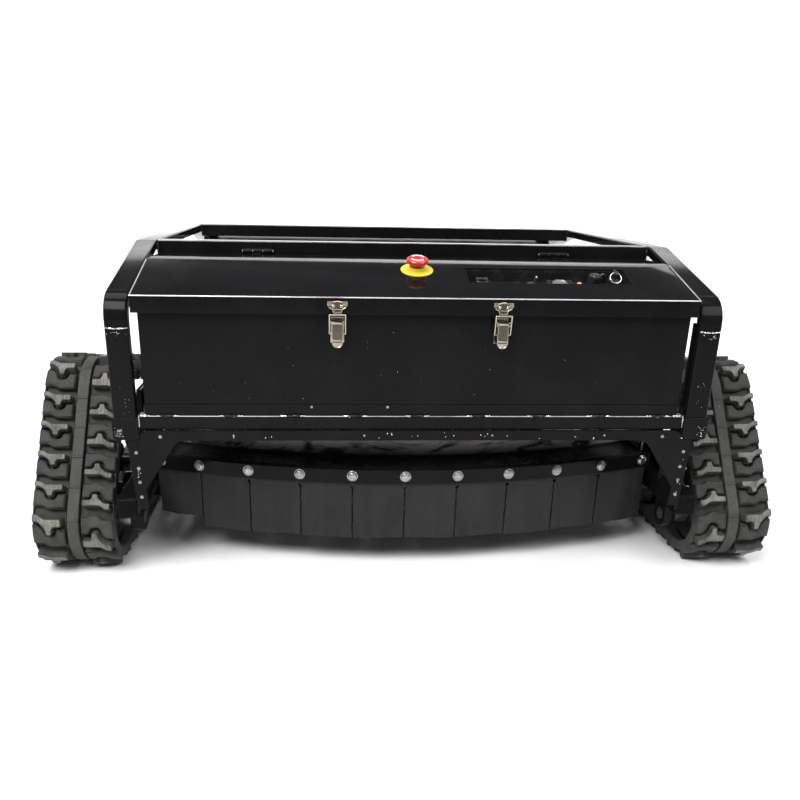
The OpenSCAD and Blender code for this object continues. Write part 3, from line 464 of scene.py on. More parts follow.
def rectangle(w, h, x=0, y=0):
    return [(x - w / 2, y - h / 2), (x + w / 2, y - h / 2), (x + w / 2, y + h / 2), (x - w / 2, y + h / 2)]


def spot(origin, u, v, n):
    """put() for a place on a surface: millimetres along u, v and out along n."""
    u, v, n = Vector(u).normalized(), Vector(v).normalized(), Vector(n).normalized()
    return lambda a, b, c: origin + (u * a + v * b + n * c) * MM


def facing_front(x, y, z):
    """put() for a place on an upright face that looks at the near end."""
    return spot(at(x, y, z), (1, 0, 0), (0, 0, 1), (0, -1, 0))


def circle_points(r, degrees, y=0.0):
    """Points round (0, y) at those angles."""
    return [(r * math.cos(math.radians(a)), y + r * math.sin(math.radians(a))) for a in degrees]


def sliced(mesh, axis, values):
    """Cuts a Mesh's shapes at those coordinates, so that they can be bent."""
    me = bpy.data.meshes.new("sliced")
    me.from_pydata([tuple(v) for v in mesh.v], [], mesh.f)
    me.polygons.foreach_set("material_index", mesh.m)
    bm = bmesh.new()
    bm.from_mesh(me)
    bmesh.ops.recalc_face_normals(bm, faces=bm.faces)
    no = [0, 0, 0]
    no[axis] = 1
    for x in values:
        co = [0, 0, 0]
        co[axis] = x
        bmesh.ops.bisect_plane(bm, geom=bm.verts[:] + bm.edges[:] + bm.faces[:], dist=1e-6,
                               plane_co=co, plane_no=no)
    bm.verts.index_update()
    out = Mesh()
    out.v = [v.co.copy() for v in bm.verts]
    out.f = [[v.index for v in f.verts] for f in bm.faces]
    out.m = [f.material_index for f in bm.faces]
    bm.free()
    bpy.data.meshes.remove(me)
    return out


# ---- the floor and light ----

def studio():
    k = Look("floor_look", Specular_IOR_Level=0.1, Roughness=0.9)
    k.set("Base Color", k.ramp(k.noise(0.7, 2), (0.3, (0.84, 0.84, 0.84)), (0.7, (0.88, 0.88, 0.877))))
    rise, back, r = 2.6, 4.2, 1.0
    line = [(-7, 0), (back - r, 0)]
    bend = [math.radians(x) for x in range(6, 91, 6)]
    line += [(back - r + r * math.sin(a), r - r * math.cos(a)) for a in bend]
    line.append((back, rise))
    verts = [(x, y, z - 0.0005) for x in (-9, 9) for y, z in line]
    n = len(line)
    me = bpy.data.meshes.new("floor")
    me.from_pydata(verts, [], [[i, i + 1, n + i + 1, n + i] for i in range(n - 1)])
    me.polygons.foreach_set("use_smooth", [True] * len(me.polygons))
    floor = bpy.data.objects.new("floor", me)
    scene.collection.objects.link(floor)
    me.materials.append(k.m)

    world = bpy.data.worlds.new("studio")
    scene.world = world
    world.use_nodes = True
    back_node = world.node_tree.nodes["Background"]
    back_node.inputs[0].default_value = (0.95, 0.97, 1.0, 1)
    back_node.inputs[1].default_value = 0.16

    def softbox(name, place, target, size, power, tint=(1, 1, 1)):
        d = bpy.data.lights.new(name, "AREA")
        d.shape, d.size, d.size_y, d.energy, d.color = "RECTANGLE", size[0], size[1], power, tint
        o = bpy.data.objects.new(name, d)
        o.location = place
        o.rotation_euler = (Vector(target) - Vector(place)).to_track_quat("-Z", "Y").to_euler()
        scene.collection.objects.link(o)

    softbox("key", (-1.6, -2.4, 3.0), (0, -0.3, 0.2), (2.4, 1.6), 175)
    softbox("fill", (2.2, -2.0, 2.6), (0, 0, 0.3), (2.0, 1.6), 62)
    softbox("top", (0, -0.3, 3.4), (0, -0.2, 0), (3.6, 1.5), 90)
    softbox("wall", (0, 1.9, 3.2), (0, 4.2, 0.9), (6.0, 0.8), 210)
    scene.view_settings.view_transform = "Standard"


studio()

# ---- rounded metalwork ----

foot_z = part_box("side_tube_left")[0].z + 2 * MM


def above_foot(e):
    return any(v.co.z > foot_z for v in e.verts)


for n in ("side_tube_left", "side_tube_right"):
    rounded(n, 3.6, 4, pick=above_foot)
# the rails' top edges get a wider bevel in the painted highlight look
for n in ("near_top_rail", "far_top_rail"):
    rounded(n, 3.0, 4, pick=long_edge(0.4),
            first=(lambda e: long_edge(0.4)(e) and min(v.co.z for v in e.verts) > 0.6, 4.2, 4, rail_edge_painted_highlight))
for n in ("front_beam", "rear_beam"):
    rounded(n, 3.4, 4, pick=long_edge(0.4))
rounded("tube_feet", 1.6, 3)
for n, w in (("front_leg_plate", 0.8), ("rear_leg_plate", 0.8), ("floor_rails", 0.6), ("floor_plate", 0.8),
             ("control_box", 0.8), ("box_front_panel", 0.8), ("box_sill", 0.6), ("rear_cover", 0.8),
             ("battery", 3.0), ("motor_controller", 0.5), ("latch_bases", 0.3), ("hinge_leaves", 0.5),
             ("hinge_pins", 0.5), ("clamp_band", 0.8), ("deck_hangers", 1.0), ("mower_deck", 0.7),
             ("track_frame_left", 1.2), ("track_frame_right", 1.2), ("gear_motors", 2.0), ("tensioners", 0.8),
             ("wheel_axles", 0.8), ("instrument_tray", 0.5), ("strike_plates", 0.3),
             ("rocker_key", 0.7)):
    rounded(n, w)
# latch levers in the darker nickel copy, painted shade
for n in ("latch_lever_left", "latch_lever_right"):
    rounded(n, 0.35, look=nickel_painted_shade)
lid_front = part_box("lid")[0].y


def lid_edge(e):
    """The lid's folded front edge."""
    return (long_edge(0.5)(e) and min(v.co.z for v in e.verts) > 0.538
            and abs(e.verts[0].co.y - lid_front) < 0.01)


# the lid's folded front edge gets a wider bevel in the painted highlight look
rounded("lid", 0.6, 2, first=(lid_edge, 1.6, 3, fold_edge_painted_highlight))
for n in frame["nodes"]:
    if "idler" in n or n.startswith(("roller_", "sprocket_")):
        rounded(n, 1.0)

# ---- tracks ----

track_centre = 641.0
belt_t, lug_h, horn_h = 15.0, 20.0, 22.0


def wheel(joint, r):
    p = joints[joint]["pos_m"]
    return (p[1] / MM, p[2] / MM, r)


WHEELS = [wheel("near_idler_right_spin", 64.5), wheel("sprocket_right_spin", 76.4),
          wheel("far_idler_right_spin", 64.5)]


def run_normal(a, b):
    dy, dz = b[0] - a[0], b[1] - a[1]
    d = math.hypot(dy, dz)
    k = (a[2] - b[2]) / d
    c = math.sqrt(1 - k * k)
    return (-dz / d * c + dy / d * k, dy / d * c + dz / d * k)


RUN_N = [run_normal(WHEELS[i], WHEELS[(i + 1) % 3]) for i in range(3)]
RUN_L = [math.sqrt((b[0] - a[0]) ** 2 + (b[1] - a[1]) ** 2 - (a[2] - b[2]) ** 2)
         for a, b in ((WHEELS[i], WHEELS[(i + 1) % 3]) for i in range(3))]
WRAP_L = [((math.atan2(RUN_N[i - 1][1], RUN_N[i - 1][0]) - math.atan2(RUN_N[i][1], RUN_N[i][0]) + 4 * math.pi)
           % (2 * math.pi)) * WHEELS[i][2] for i in range(3)]
LOOP = sum(RUN_L) + sum(WRAP_L)
LINKS = 42
PITCH = LOOP / LINKS


def loop_at(s):
    """Place on the pitch line at a distance along it, as (y, z, angle of the outward normal)."""
    s %= LOOP
    for i, w in enumerate(WHEELS):
        if s < WRAP_L[i]:
            a = math.atan2(RUN_N[i - 1][1], RUN_N[i - 1][0]) - s / w[2]
            return w[0] + w[2] * math.cos(a), w[1] + w[2] * math.sin(a), a
        s -= WRAP_L[i]
        n = RUN_N[i]
        if s < RUN_L[i]:
            return w[0] + w[2] * n[0] + s * n[1], w[1] + w[2] * n[1] - s * n[0], math.atan2(n[1], n[0])
        s -= RUN_L[i]
    return loop_at(0)


def on_belt(side, x, s, n):
    y, z, a = loop_at(s)
    return Vector((side * (track_centre + x), y + n * math.cos(a), z + n * math.sin(a))) * MM


def belt_link():
    """One link, flat: x outward across the belt, t along it and n out of it."""
    link = Mesh()
    base, top = belt_t / 2 - 1.5, belt_t / 2 + lug_h
    flat = lambda x, t, n: Vector((x, t, n))
    lug = soft([(18.5, -6), (33, -6), (36, -9.5), (36.5, -17), (46.5, -17), (48.5, -9), (53, -4.5), (61, 1.5),
                (71, 2), (71, 13), (61, 13), (50, 6.3), (18.5, 6)],
               [3.5, 3, 3, 4, 4, 3, 3, 3, 3.5, 3.5, 4, 4, 3.5])
    block = soft([(15.5, 20), (46, 20), (56, 27), (74, 27.5), (74, 58), (63, 57), (54, 51), (51.5, 43),
                  (47, 38.5), (36, 38.5), (31.5, 43), (30, 49), (15.5, 50)],
                 [1.5, 4, 4, 1.5, 1.5, 3, 4, 4, 4, 4, 4, 4, 1.5])
    lug_levels = [(base, -2.2), (belt_t / 2 + 1.0, -1.4), (belt_t / 2 + 3.5, -0.3), (top - 1.6, 0),
                  (top - 0.5, 0.5), (top, 1.6)]
    block_top = belt_t / 2 + 12.5
    block_levels = [(base, -0.8), (block_top - 3.4, 0), (block_top - 0.7, 1.8), (block_top, 3.2)]
    for put, shift in ((flat, 0.0), (lambda x, t, n: Vector((-x, -t, n)), 0.5)):
        moved = (lambda p, d: (lambda x, t, n: p(x, t, n) + Vector((0, d, 0))))(put, shift * PITCH)
        link.prism(lug, lug_levels, moved, 0, 1)
        link.prism(block, block_levels, moved, 0)
    # centre band, with a fine step at each link
    band = soft(rectangle(21, PITCH - 0.3, -1, PITCH / 2), 0.8, 1)
    link.prism(band, [(base, 0), (belt_t / 2 + 10.8, 0), (belt_t / 2 + 11.6, 0.8)], flat, 2, 2)
    cross = soft(rectangle(19, 2.2, -1, 5), 0.6, 1)
    link.prism(cross, [(belt_t / 2 + 11, 0), (belt_t / 2 + 12.1, 0.6)], flat, 2, 2)
    # guide horns on the inside
    for e in (-1, 1):
        horn = soft(rectangle(12, 20, e * 20, PITCH * 0.25), 2.5, 2)
        tip = -belt_t / 2 - horn_h
        link.prism(horn, [(-belt_t / 2 + 1.5, -1.5), (-belt_t / 2 - 2, 0.2), (tip + 2.5, 2.6),
                          (tip + 0.6, 3.2), (tip, 4.2)], flat, 0)
    return sliced(link, 1, [-36 + 6 * i for i in range(18)])


LINK = belt_link()
# The strap's section, as (x outward, n out): raised rims on its outer face, and a groove inside
STRAP = [(-75, -5.5), (-73, -7.5), (-27, -7.5), (-14, -7.5), (-13, -6.5), (-12.5, -1.5), (12.5, -1.5),
         (13, -6.5), (14, -7.5), (27, -7.5), (73, -7.5), (75, -5.5), (75, 11), (74.3, 12), (72.6, 12),
         (71.9, 11), (71.6, 7.5), (18, 7.2), (14.2, 6.5), (13.4, 1.5), (11, 1.5), (10.3, 6.5), (9, 7.2),
         (-11, 7.2), (-12, 5), (-13, 7.2), (-71.6, 7.5), (-71.9, 11), (-72.6, 12), (-74.3, 12), (-75, 11)]


def make_belt(name, side):
    body = Mesh()
    steps = LINKS * 6
    sections = [[on_belt(side, x, LOOP * i / steps, n) for x, n in STRAP] for i in range(steps)]
    body.rings(sections, 0, closed=True)
    rng = random.Random(7 + side)
    for k in range(LINKS):
        body.add([on_belt(side, v.x, k * PITCH + v.y, v.z) for v in LINK.v], LINK.f, LINK.m)
        # a nick or a scratch on the centre band
        if rng.random() < 0.75:
            c, a, l = rng.uniform(12, 48), rng.uniform(-0.9, 0.9), rng.uniform(5, 11)
            w, x = rng.uniform(0.5, 1.1), rng.uniform(-5, 4)
            dx, dt = math.sin(a) * l / 2, math.cos(a) * l / 2
            shape = [(x - dx, c - dt), (x + w, c - dt * 0.3), (x + dx, c + dt), (x - w, c + dt * 0.3)]
            body.prism(shape, [(belt_t / 2 + 11.2, 0), (belt_t / 2 + 11.72, 0)],
                       lambda x, t, n: on_belt(side, x, k * PITCH + t, n), 3 if rng.random() < 0.7 else 1)
    body.make(name + "_tread", [LOOKS["track_rubber"], lug_top, band_rubber, nick_dark], "chassis", [name],
              "track_rubber", 38, mods=False)


make_belt("track_belt_left", -1)
make_belt("track_belt_right", 1)

# ---- clamp band bolts and the rubber curtain ----

deck_r = 1350.0
deck_centre = at(0, 50 + deck_r, 0)
bolt_z = (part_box("band_bolts")[0].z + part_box("band_bolts")[1].z) / 2 / MM
bolt_count, bolt_arc, bolt_shift = 11, 102.5, -12.0


def on_front(s, z, n):
    """A point on the deck's curved front: s along the arc, z up and n out of the band's face."""
    a = s / deck_r
    r = (deck_r + n) * MM
    return Vector((r * math.sin(a), deck_centre.y - r * math.cos(a), z * MM))


def bolt_arc_at(i):
    return (i - (bolt_count - 1) / 2) * bolt_arc + bolt_shift + (18 if i == 0 else 0)


def band_bolts():
    m = Mesh()
    for i in range(bolt_count):
        s = bolt_arc_at(i)
        o = on_front(s, bolt_z, 0)
        n = on_front(s, bolt_z, 1) - o
        turn = random.Random(i).uniform(0, 1)
        u = Vector((0, 0, 1)).cross(n)
        u = (u.normalized() * math.cos(turn) + Vector((0, 0, math.sin(turn)))).normalized()
        put = spot(o, u, n.cross(u), n)
        m.lathe([(10.5, -0.3), (10.5, 1.0), (10.1, 1.3), (9.2, 1.3), (9.0, 2.0), (8.6, 3.3), (7.6, 4.5),
                 (6.2, 5.2), (4.9, 5.4), (4.3, 5.2)], put, 36, 0)
        # the hex socket takes the near-black painted shade
        m.lathe([(4.4, 5.15), (4.3, 5.25), (4.0, 5.3, 6), (3.7, 5.1, 6), (3.6, 5.0, 6)], put, 36, 1)
    m.make("band_bolts_finish", [LOOKS["zinc_steel"], socket_painted_shade], "chassis", ["band_bolts"], "zinc_steel")


band_bolts()


def flap(m, s0, s1, hem, seed, cut_left=True, cut_right=True, crease=0.0):
    """One flap of the curtain, between two slits, with half of a keyhole at each."""
    g, hole, r, top = 1.5, 170.0, 4.2, 205.5
    rng = random.Random(seed)
    phase, lean, twist = rng.uniform(0, 6.3), rng.uniform(-1.2, 1.6), rng.uniform(-1.5, 1.5)
    sag = [rng.uniform(-0.8, 0.8) for _ in range(4)]
    line = []
    width = s1 - s0
    for k in range(9):
        t = k / 8
        line.append((s0 + g + (width - 2 * g) * t, hem + 0.8 * math.sin(3 * t + phase) + sag[k % 4] * 0.5))
    if cut_right:
        b = math.asin(g / r)
        turns = [b + (math.pi - b) * k / 6 for k in range(7)]
        line += [(s1 - r * math.sin(a), hole - r * math.cos(a)) for a in turns]
    else:
        line.append((s1 - g, hole))
    line += [(s1, top), (s0, top)] if cut_right else [(s1 - g, top), (s0, top)]
    if cut_left:
        b = math.asin(g / r)
        turns = [b + (math.pi - b) * k / 6 for k in range(6, -1, -1)]
        line += [(s0 + r * math.sin(a), hole - r * math.cos(a)) for a in turns]
    one = Mesh()
    one.prism(line, [(-11, 0.6), (-10.4, 0), (-5.6, 0), (-5.05, 0.6)], lambda a, b, c: Vector((a, b, c)))
    one = sliced(one, 0, [s0 + width * k / 9 for k in range(1, 9)])
    one = sliced(one, 1, [hem + 10 * k for k in range(1, int((174 - hem) / 10))])
    out = []
    for v in one.v:
        t, d = (v.x - s0) / width, max(0.0, (172 - v.y) / 110)
        wave = (math.sin(2.6 * t * math.pi + phase) * 1.1 * d * d + lean * d * d
                + twist * (t - 0.5) * 2 * d * d)
        wave += crease * d * math.exp(-((t - 0.45 - 0.15 * (v.y - hem) / 90) / 0.09) ** 2)
        out.append(on_front(v.x, v.y, v.z + wave - 0.4 * d))
    m.add(out, one.f, one.m)


end_arc = 519.0


def curtain():
    m = Mesh()
    for i in range(1, bolt_count - 1):
        last = i == bolt_count - 2
        flap(m, bolt_arc_at(i), end_arc if last else bolt_arc_at(i + 1), 62, 20 + i, i > 1, not last)
    m.make("rubber_curtain_flaps", [LOOKS["curtain_rubber"]], "chassis", ["rubber_curtain"], "curtain_rubber")
    m = Mesh()
    flap(m, -end_arc, bolt_arc_at(1), 82, 5, False, False, 2.2)
    m.make("curtain_end_flap_finish", [LOOKS["curtain_rubber"]], "chassis", ["curtain_end_flap"],
           "curtain_rubber")


curtain()

# ---- welds ----

def bead(m, a, b, r, seed, look=0, flat=1.0):
    """A rippled weld bead between two points in metres."""
    rng = random.Random(seed)
    count = max(4, int((b - a).length / MM / 1.3))
    path, radii = [], []
    for i in range(count + 1):
        t = i / count
        wob = Vector([rng.uniform(-0.35, 0.35) * MM for _ in range(3)])
        path.append(a.lerp(b, t) + wob)
        end = min(1, 0.35 + 3 * min(t, 1 - t))
        radii.append(r * end * (0.8 + 0.28 * (i % 3 == 0) + rng.uniform(-0.1, 0.12)) * flat)
    m.tube(path, radii, 10, look)


def spatter(m, centre, u, v, n, spread, count, seed, size=(0.4, 1.1)):
    """Small drops of weld metal on a flat face, round a point in metres."""
    rng = random.Random(seed)
    for _ in range(count):
        a, b = rng.gauss(0, spread[0] / 2), rng.gauss(0, spread[1] / 2)
        a, b = max(-spread[0], min(spread[0], a)), max(-spread[1], min(spread[1], b))
        r = rng.uniform(*size)
        put = spot(centre + (Vector(u) * a + Vector(v) * b) * MM, u, v, n)
        m.lathe([(r, -0.1), (r * 0.95, 0.25 * r), (r * 0.6, 0.6 * r), (r * 0.1, 0.72 * r)], put, 8, 0)


def front_spatter(m, x, y, z, *args):
    spatter(m, at(x, y, z), (1, 0, 0), (0, 0, 1), (0, -1, 0), *args)


def welds():
    shiny, dull = Mesh(), Mesh()
    beam_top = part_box("front_beam")[1].z / MM
    for k in range(9):
        x = -447 + 112 * k
        bead(dull, at(x - 14, 5.6, beam_top + 0.2), at(x + 14, 5.6, beam_top + 0.2), 2.6, k)
        front_spatter(shiny, x, 4.9, beam_top - 1, (14, 1.5), 5, 40 + k)
        for side in (0, 1):
            c = x + (17 if side else -17)
            bead(shiny, at(c - 5, 5.2, beam_top + 0.2), at(c + 5, 5.2, beam_top + 0.6), 1.3,
                 60 + 2 * k + side)
    for e in (-1, 1):
        bead(shiny, at(e * 476, 5.4, beam_top + 0.3), at(e * 494, 5.0, beam_top + 0.3), 2.4, 90 + e)
        bead(shiny, at(e * 496.3, 4, beam_top - 22), at(e * 496.3, 4, beam_top + 2), 1.8, 95 + e)
        bead(dull, at(e * 486, 9.0, beam_top + 3), at(e * 486, 9.0, beam_top + 20), 1.6, 99 + e)
        # round each tube where its bend begins, and at the rails
        z = 487
        ring = [at(e * 500.5, -0.2, z), at(e * 506, -0.4, z - 1), at(e * 520, -0.5, z - 2),
                at(e * 534, -0.4, z - 1), at(e * 539.5, -0.2, z)]
        for a, b, seed in zip(ring, ring[1:], range(4)):
            bead(shiny, a, b, 1.5, 110 + 4 * e + seed)
        front_spatter(shiny, e * 520, 0, z - 9, (16, 7), 9, 120 + e, (0.3, 0.8))
        front_spatter(shiny, e * 532, -3, 300, (9, 10), 26, 130 + e, (0.3, 0.8))
        front_spatter(shiny, e * 520, 0, 360, (14, 40), 8, 140 + e, (0.3, 0.6))
        front_spatter(shiny, e * 505, 0, 210, (5, 40), 7, 150 + e, (0.5, 1.0))
        for y in (285, 315, 858, 888):
            s = -0.2 if y in (285, 858) else 0.2
            bead(dull, at(e * 499, y + s, 582), at(e * 499, y + s, 607.5), 2.2, int(y) + e)
        for y in (286, 859):
            bead(dull, at(e * 499.5, y, 608.6), at(e * 499.5, y + 28, 608.6), 1.6, int(y) + 7 + e)
            bead(dull, at(e * 499.5, y, 581.5), at(e * 499.5, y + 28, 581.5), 2.0, int(y) + 17 + e)
        # frame beams: gussets, motor plates
        for y, z0, z1 in ((200, 168.6, 168.6), (304, 168.6, 168.6)):
            bead(dull, at(e * 535.4, y - 18, z0), at(e * 535.4, y + 18, z1), 2.2, int(y) + 31 + e)
        bead(dull, at(e * 511.6, 6, 141), at(e * 511.6, 6, 225), 2.0, 171 + e)
        bead(dull, at(e * 511.6, 1167, 141), at(e * 511.6, 1167, 225), 2.0, 181 + e)
    for x in range(-440, 441, 110):
        bead(dull, at(x - 12, 30.6, 303.5), at(x + 12, 30.6, 303.5), 1.8, 200 + x)
        bead(dull, at(x - 14, 1167.4, 328.8), at(x + 14, 1167.4, 328.8), 2.4, 300 + x)
    front_spatter(shiny, 0, 0, 293, (330, 6), 20, 400, (0.5, 1.2))
    front_spatter(shiny, 0, 9.9, 420, (420, 60), 22, 401, (0.25, 0.5))
    shiny.make("weld_beads_bright", weld_metal, slot="zinc_steel", mods=False)
    dull.make("weld_beads_painted", paint_weld, slot="gloss_black_paint", mods=False)


welds()

# ---- small parts on the frame ----

def small_parts():
    m = Mesh()
    # plugs in the ends of the frame beams, near black as painted shade
    for e in (-1, 1):
        for y, d in ((10, -1), (1163, 1)):
            put = spot(at(e * 532, y, 148), (1, 0, 0), (0, 0, 1), (0, d, 0))
            m.prism(soft(rectangle(35, 35), 3), [(-6, 0.4), (-0.5, 0), (0.6, 0), (1.4, 0.9)], put)
    m.make("beam_plugs", painted_shade_black, slot="black_plastic")

    m = Mesh()
    # sill slots show bright metal behind them
    for x in (-190, -53):
        put = facing_front(x, 12, 344.5)
        m.prism(soft(rectangle(4.6, 4.6), 1), [(-0.5, 0), (1.6, 0), (1.9, 0.3)], put)
    # small screws along the leg plates and the front beam
    for e in (-1, 1):
        for x, z in ((505, 262), (503, 232), (503, 205), (502, 176), (460, 292)):
            put = facing_front(e * x, 0, z)
            m.lathe([(3.4, -0.2), (3.4, 0.5), (3.0, 1.3), (1.9, 1.8), (1.5, 1.7), (1.4, 1.0)], put, 16)
    for x in (-330, -95, 140, 350):
        put = facing_front(x, 0, 294)
        m.lathe([(2.2, -0.2), (2.2, 0.3), (1.8, 0.9), (0.9, 1.2)], put, 14)
    m.make("frame_screws", LOOKS["zinc_steel"], slot="zinc_steel")

    m = Mesh()
    # small rivets under the rear cover, by the far rail
    for k in range(90):
        x = -440 + 880 * k / 89
        put = spot(at(x, 891.5, 584.6), (1, 0, 0), (0, 1, -0.27), (0, -0.26, -0.96))
        m.lathe([(1.5, -0.4), (1.5, 0.2), (1.2, 0.8), (0.5, 1.1)], put, 8)
    m.make("cover_rivets", LOOKS["zinc_steel"], slot="zinc_steel", mods=False)


small_parts()

# ---- latches ----

def latches():
    for name in ("left", "right"):
        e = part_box("latch_lever_" + name)
        cx = (e[0].x + e[1].x) / 2 / MM
        put = facing_front(cx, 0, 0)
        # strike: a fan with a raised rim, two rivets and a rolled tongue; its flat face takes the darker nickel,
        # painted shade
        m = Mesh()
        arc = circle_points(17.2, range(20, 161, 14), 518.3)
        fan = soft([(-7.2, 515), (7.2, 515), (7.6, 519.5)] + arc + [(-7.6, 519.5)],
                   [1, 1, 2] + [1.5] * len(arc) + [2])
        m.prism(fan, [(0.02, 0), (2.2, 0), (2.8, 0.5), (2.85, 1.4), (2.4, 1.9)], put, 0, 1)
        for s in (-7, 7):
            rivet = facing_front(cx + s, -2.4, 526.5)
            m.lathe([(2.9, 0), (2.8, 0.7), (2.1, 1.3), (1.3, 1.5), (0.9, 1.1), (0.8, 0.7)], rivet, 20, 0)
        m.tube([at(cx - 7, -3.4, 516), at(cx + 7, -3.4, 516)], 1.8, 14, 0)
        m.make("strike_detail_" + name, [LOOKS["nickel_plate"], nickel_painted_shade], "lid", slot="nickel_plate")
        # lever: a rim, a cross bar and a bright tip
        m = Mesh()
        half, tip, top = 9.0, 466, 501
        rim = [(-half, top), (-half, tip)]
        rim += circle_points(half, range(195, 346, 15), tip)
        rim += [(half, tip), (half, top)]
        m.tube([put(a, b, 10.3) for a, b in rim], 0.75, 8, 0, closed=True)
        m.prism(soft(rectangle(18.4, 3.0, 0, 469.5), 1), [(10.2, 0), (10.9, 0), (11.3, 0.6)], put, 0)
        tip_shape = circle_points(8.6, range(180, 361, 12), tip)
        m.prism(tip_shape, [(10.1, 0), (10.6, 0), (10.75, 0.6)], put, 0)
        m.prism(soft(rectangle(18.6, 4.2, 0, 499.6), 1.2), [(10.1, 0), (10.7, 0), (11.2, 0.8)], put, 0)
        m.make("lever_trim_" + name, LOOKS["nickel_plate"], "latch_lever_" + name, slot="nickel_plate")


latches()

# ---- instruments, key and stop button ----

# The lid's slope comes from the button's travel. Places on it are (X, distance up the slope).
press = joints["stop_button_press"]["axis"]
slope = math.atan2(press[1], -press[2])
lid_edge_z, recess_n = 541.0, -26.0
SOCKET_X = 126
TOGGLE, METER, LAMP = (215, 100), (269, 100), (305, 100)
CONNECTOR, KEY, STOP = (332, 100), (371, 108), (3, 120)

def on_slope(x, s, n=0.0):
    c, d = math.cos(slope), math.sin(slope)
    return spot(at(x, s * c - n * d, lid_edge_z + s * d + n * c), (1, 0, 0), (0, c, d), (0, -d, c))


def edge_highlight_lines():
    """Painted highlight lines: thin bright tubes along the rolled edges of the lid, the rails and the front beam.
    """
    m = Mesh()
    m.tube([on_slope(x, 0.5, 0)(0, 0, 0) for x in range(-493, 494, 34)], 1.05, 8)
    for e in (-1, 1):
        m.tube([on_slope(e * 493.4, q, 0)(0, 0, 0) for q in range(0, 157, 26)], 0.95, 8)
    m.make("lid_painted_highlight_lines", fold_edge_painted_highlight, "lid", slot="gloss_black_paint", mods=False)
    m = Mesh()
    for y in (285.6, 858.6):
        m.tube([at(x, y, 609.8) for x in range(-498, 499, 83)], 1.0, 8)
    m.make("rail_painted_highlight_lines", rail_edge_painted_highlight, slot="gloss_black_paint", mods=False)
    m = Mesh()
    m.tube([at(x, 5.5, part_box("front_beam")[1].z / MM - 0.5) for x in range(-494, 495, 76)], 0.8, 8)
    m.make("beam_painted_highlight_line", fold_edge_painted_highlight, slot="gloss_black_paint", mods=False)


edge_highlight_lines()


def gap_shade_strip():
    """A near-black strip, painted shade, in part of the gap between the box and the right tube."""
    m = Mesh()
    m.prism(soft(rectangle(5.4, 5, 497, 17), 1.2), [(344, 0.8), (345, 0), (499, 0), (500, 0.8)],
            lambda a, b, c: at(a, b, c))
    m.make("gap_painted_shade_right", painted_shade_black, slot="black_plastic")


gap_shade_strip()


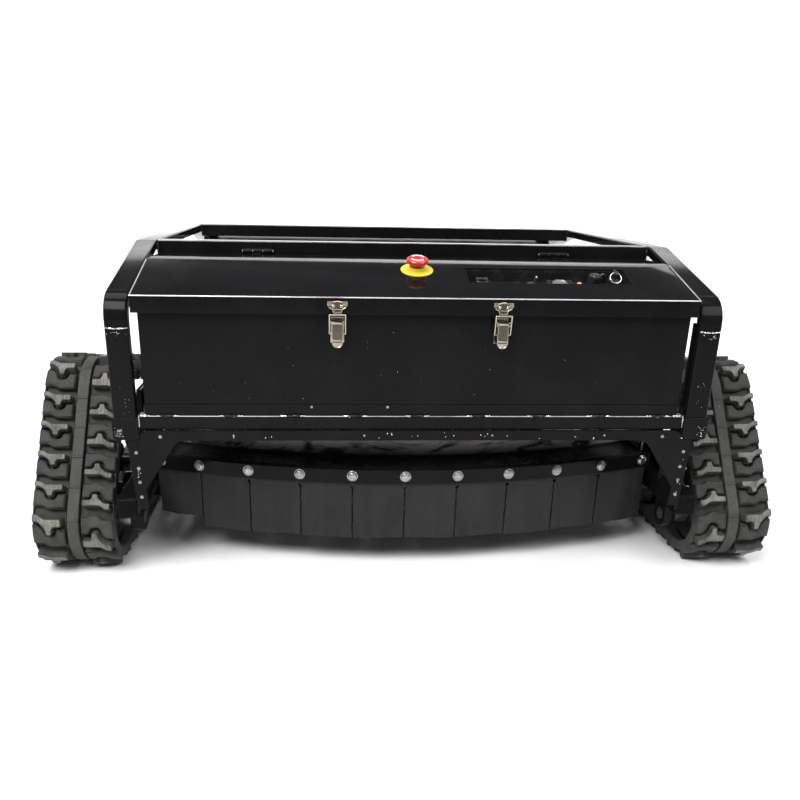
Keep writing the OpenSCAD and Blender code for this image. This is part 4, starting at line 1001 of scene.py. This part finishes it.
def instruments():
    rounded("panel_instruments", 0.5, 2, look=key_black)
    m = Mesh()
    floor = on_slope(0, 0, recess_n)
    # the socket's bezel
    ring = [floor(SOCKET_X + a, 118 + b, 9.8) for a, b in soft(rectangle(21, 17), 3)]
    m.tube(ring, 0.5, 6, 0, closed=True)
    m.make("recess_trim", LOOKS["zinc_steel"], "lid", slot="zinc_steel")
    m = Mesh()
    for x0, x1 in ((98, 125), (143, 190), (228, 244), (296, 299)):
        ledge = soft(rectangle(x1 - x0, 3.0, (x0 + x1) / 2, 97.5), 0.6)
        m.prism(ledge, [(-0.2, 0), (7.4, 0), (8, 0.5)], floor)
    m.make("recess_labels", label_grey, "lid", slot="black_plastic")
    m = Mesh()
    m.prism(soft(rectangle(11, 7, 134, 94), 1.2), [(7.6, 0.6), (8.2, 0), (10.4, 0), (11, 0.7)], floor)
    m.make("rocker_paddle", LOOKS["stop_red"], "rocker_key", slot="stop_red")

    m = Mesh()
    put = on_slope(*METER, recess_n)
    m.lathe([(15, 12.6), (15, 13.6), (14, 14.3), (12.6, 14.4), (12, 13.4), (0.5, 13.4)], put, 36, 0)
    for a in range(-60, 61, 20):
        c, d = math.sin(math.radians(a)), math.cos(math.radians(a))
        tick = spot(put(9.5 * c, 9.5 * d - 3, 13.4), (1, 0, 0), (0, math.cos(slope), math.sin(slope)),
                    (0, -math.sin(slope), math.cos(slope)))
        m.prism(rectangle(0.7, 0.7), [(0, 0), (0.3, 0.1)], tick, 1)
    m.make("meter_face", [LOOKS["controller_alloy"], white_print], "lid", slot="black_plastic")

    m = Mesh()
    put = on_slope(*LAMP, recess_n)
    m.lathe([(4.9, 10.5), (4.9, 12), (4.2, 13.6), (2.4, 14.8), (0.4, 15.1)], put, 24)
    m.make("lamp_lens", lamp_pink, "lid", slot="stop_red")

    m = Mesh()
    put = on_slope(*CONNECTOR, recess_n)
    for k in range(16):
        a = 2 * math.pi * k / 16
        rib = [put(11.3 * math.cos(a), 11.3 * math.sin(a), h) for h in (9, 12, 26, 28)]
        m.tube(rib, [0.8, 1.5, 1.5, 0.7], 8)
    m.lathe([(11.9, 5), (13.4, 6), (13.4, 9), (12.2, 10)], put, 40)
    m.lathe([(9, 28.5), (8, 30), (4, 30.7), (0.5, 30.8)], put, 30)
    path = [(8, -3, 29), (13, -1, 31.5), (17, 1, 29), (19, 3, 24), (19.5, 5, 13), (19.5, 6, 1)]
    m.tube([put(*q) for q in path], [2.2, 2.6, 2.1, 2.4, 2.1, 1.8], 10)
    m.make("connector_cap", LOOKS["black_plastic"], "lid", slot="black_plastic")

    # key: stem, bow and ring
    m = Mesh()
    put = on_slope(*KEY, recess_n)
    m.lathe([(3, 7.2), (3, 20), (2.6, 21)], put, 24, 1)
    bow = lambda a, b, c: put(c, a, b)
    bow_levels = [(-2.2, 1.4), (-1.7, 0.4), (0, 0), (1.7, 0.4), (2.2, 1.4)]
    m.prism(soft(rectangle(19, 15, 0, 27), 5, 5), bow_levels, bow, 0)
    m.lathe([(3.4, 2.0), (3.4, 2.9), (2.6, 3.1), (2.4, 2.2)],
            lambda a, b, c: put(c, a, 30 + b), 24, 1)
    r, lean = 10.5, math.radians(50)
    ring = []
    for k in range(48):
        a = 2 * math.pi * k / 48
        q = r * math.sin(a)
        ring.append(put(r * math.cos(a), -r * math.sin(lean) + q * math.sin(lean),
                        31 - r * math.cos(lean) + q * math.cos(lean)))
    m.tube(ring, 1.05, 12, 1, closed=True)
    m.make("ignition_key_finish", [key_black, weld_metal], "ignition_key", ["ignition_key"], "zinc_steel")

    # toggle, with its collar nut
    rounded("toggle_lever", 0.4, 2, look=weld_metal)
    m = Mesh()
    put = on_slope(*TOGGLE, recess_n)
    nut = [(8.2, 8.2), (8.2, 9.4), (7.6, 10, 6), (7.2, 12.2, 6), (6.4, 12.8, 6), (4.9, 12.8), (4.7, 11)]
    m.lathe(nut, put, 36)
    m.make("toggle_nut", LOOKS["zinc_steel"], "lid", slot="zinc_steel")


instruments()


def stop_button():
    rounded("stop_button", 1.4, 3, limit=20)
    rounded("stop_collar", 0.6, 2)
    put = on_slope(*STOP)
    top = max(v.co.dot(Vector((0, -math.sin(slope), math.cos(slope)))) for v in
              frame["nodes"]["stop_button"].data.vertices)
    level = (top - put(0, 0, 0).dot(Vector((0, -math.sin(slope), math.cos(slope))))) / MM
    m = Mesh()
    for turn in (0, 180):
        arc = [math.radians(turn + a) for a in range(18, 127, 12)]
        outer = [(13.2 * math.cos(a), 13.2 * math.sin(a)) for a in arc]
        inner = [(10.9 * math.cos(a), 10.9 * math.sin(a)) for a in arc[::-1]]
        m.prism(outer + inner, [(level - 1.4, 0), (level + 0.15, 0), (level + 0.25, 0.1)], put, 0)
        a = math.radians(turn + 127)
        head = [(15.4 * math.cos(a), 15.4 * math.sin(a)), (8.7 * math.cos(a), 8.7 * math.sin(a)),
                (12 * math.cos(a + 0.42), 12 * math.sin(a + 0.42))]
        m.prism(head, [(level - 1.4, 0), (level + 0.15, 0), (level + 0.25, 0.1)], put, 0)
    m.make("button_arrows", white_print, "stop_button", slot="stop_red")


stop_button()
for n in ("latch_bail_left", "latch_bail_right"):
    rounded(n, 0.2, 1, look=LOOKS["nickel_plate"], limit=50)

# ---- a look for any node that still shows its CAD shape ----

for n, o in frame["nodes"].items():
    if not o.hide_render:
        o.data.materials.clear()
        o.data.materials.append(LOOKS[slot_of[n]])
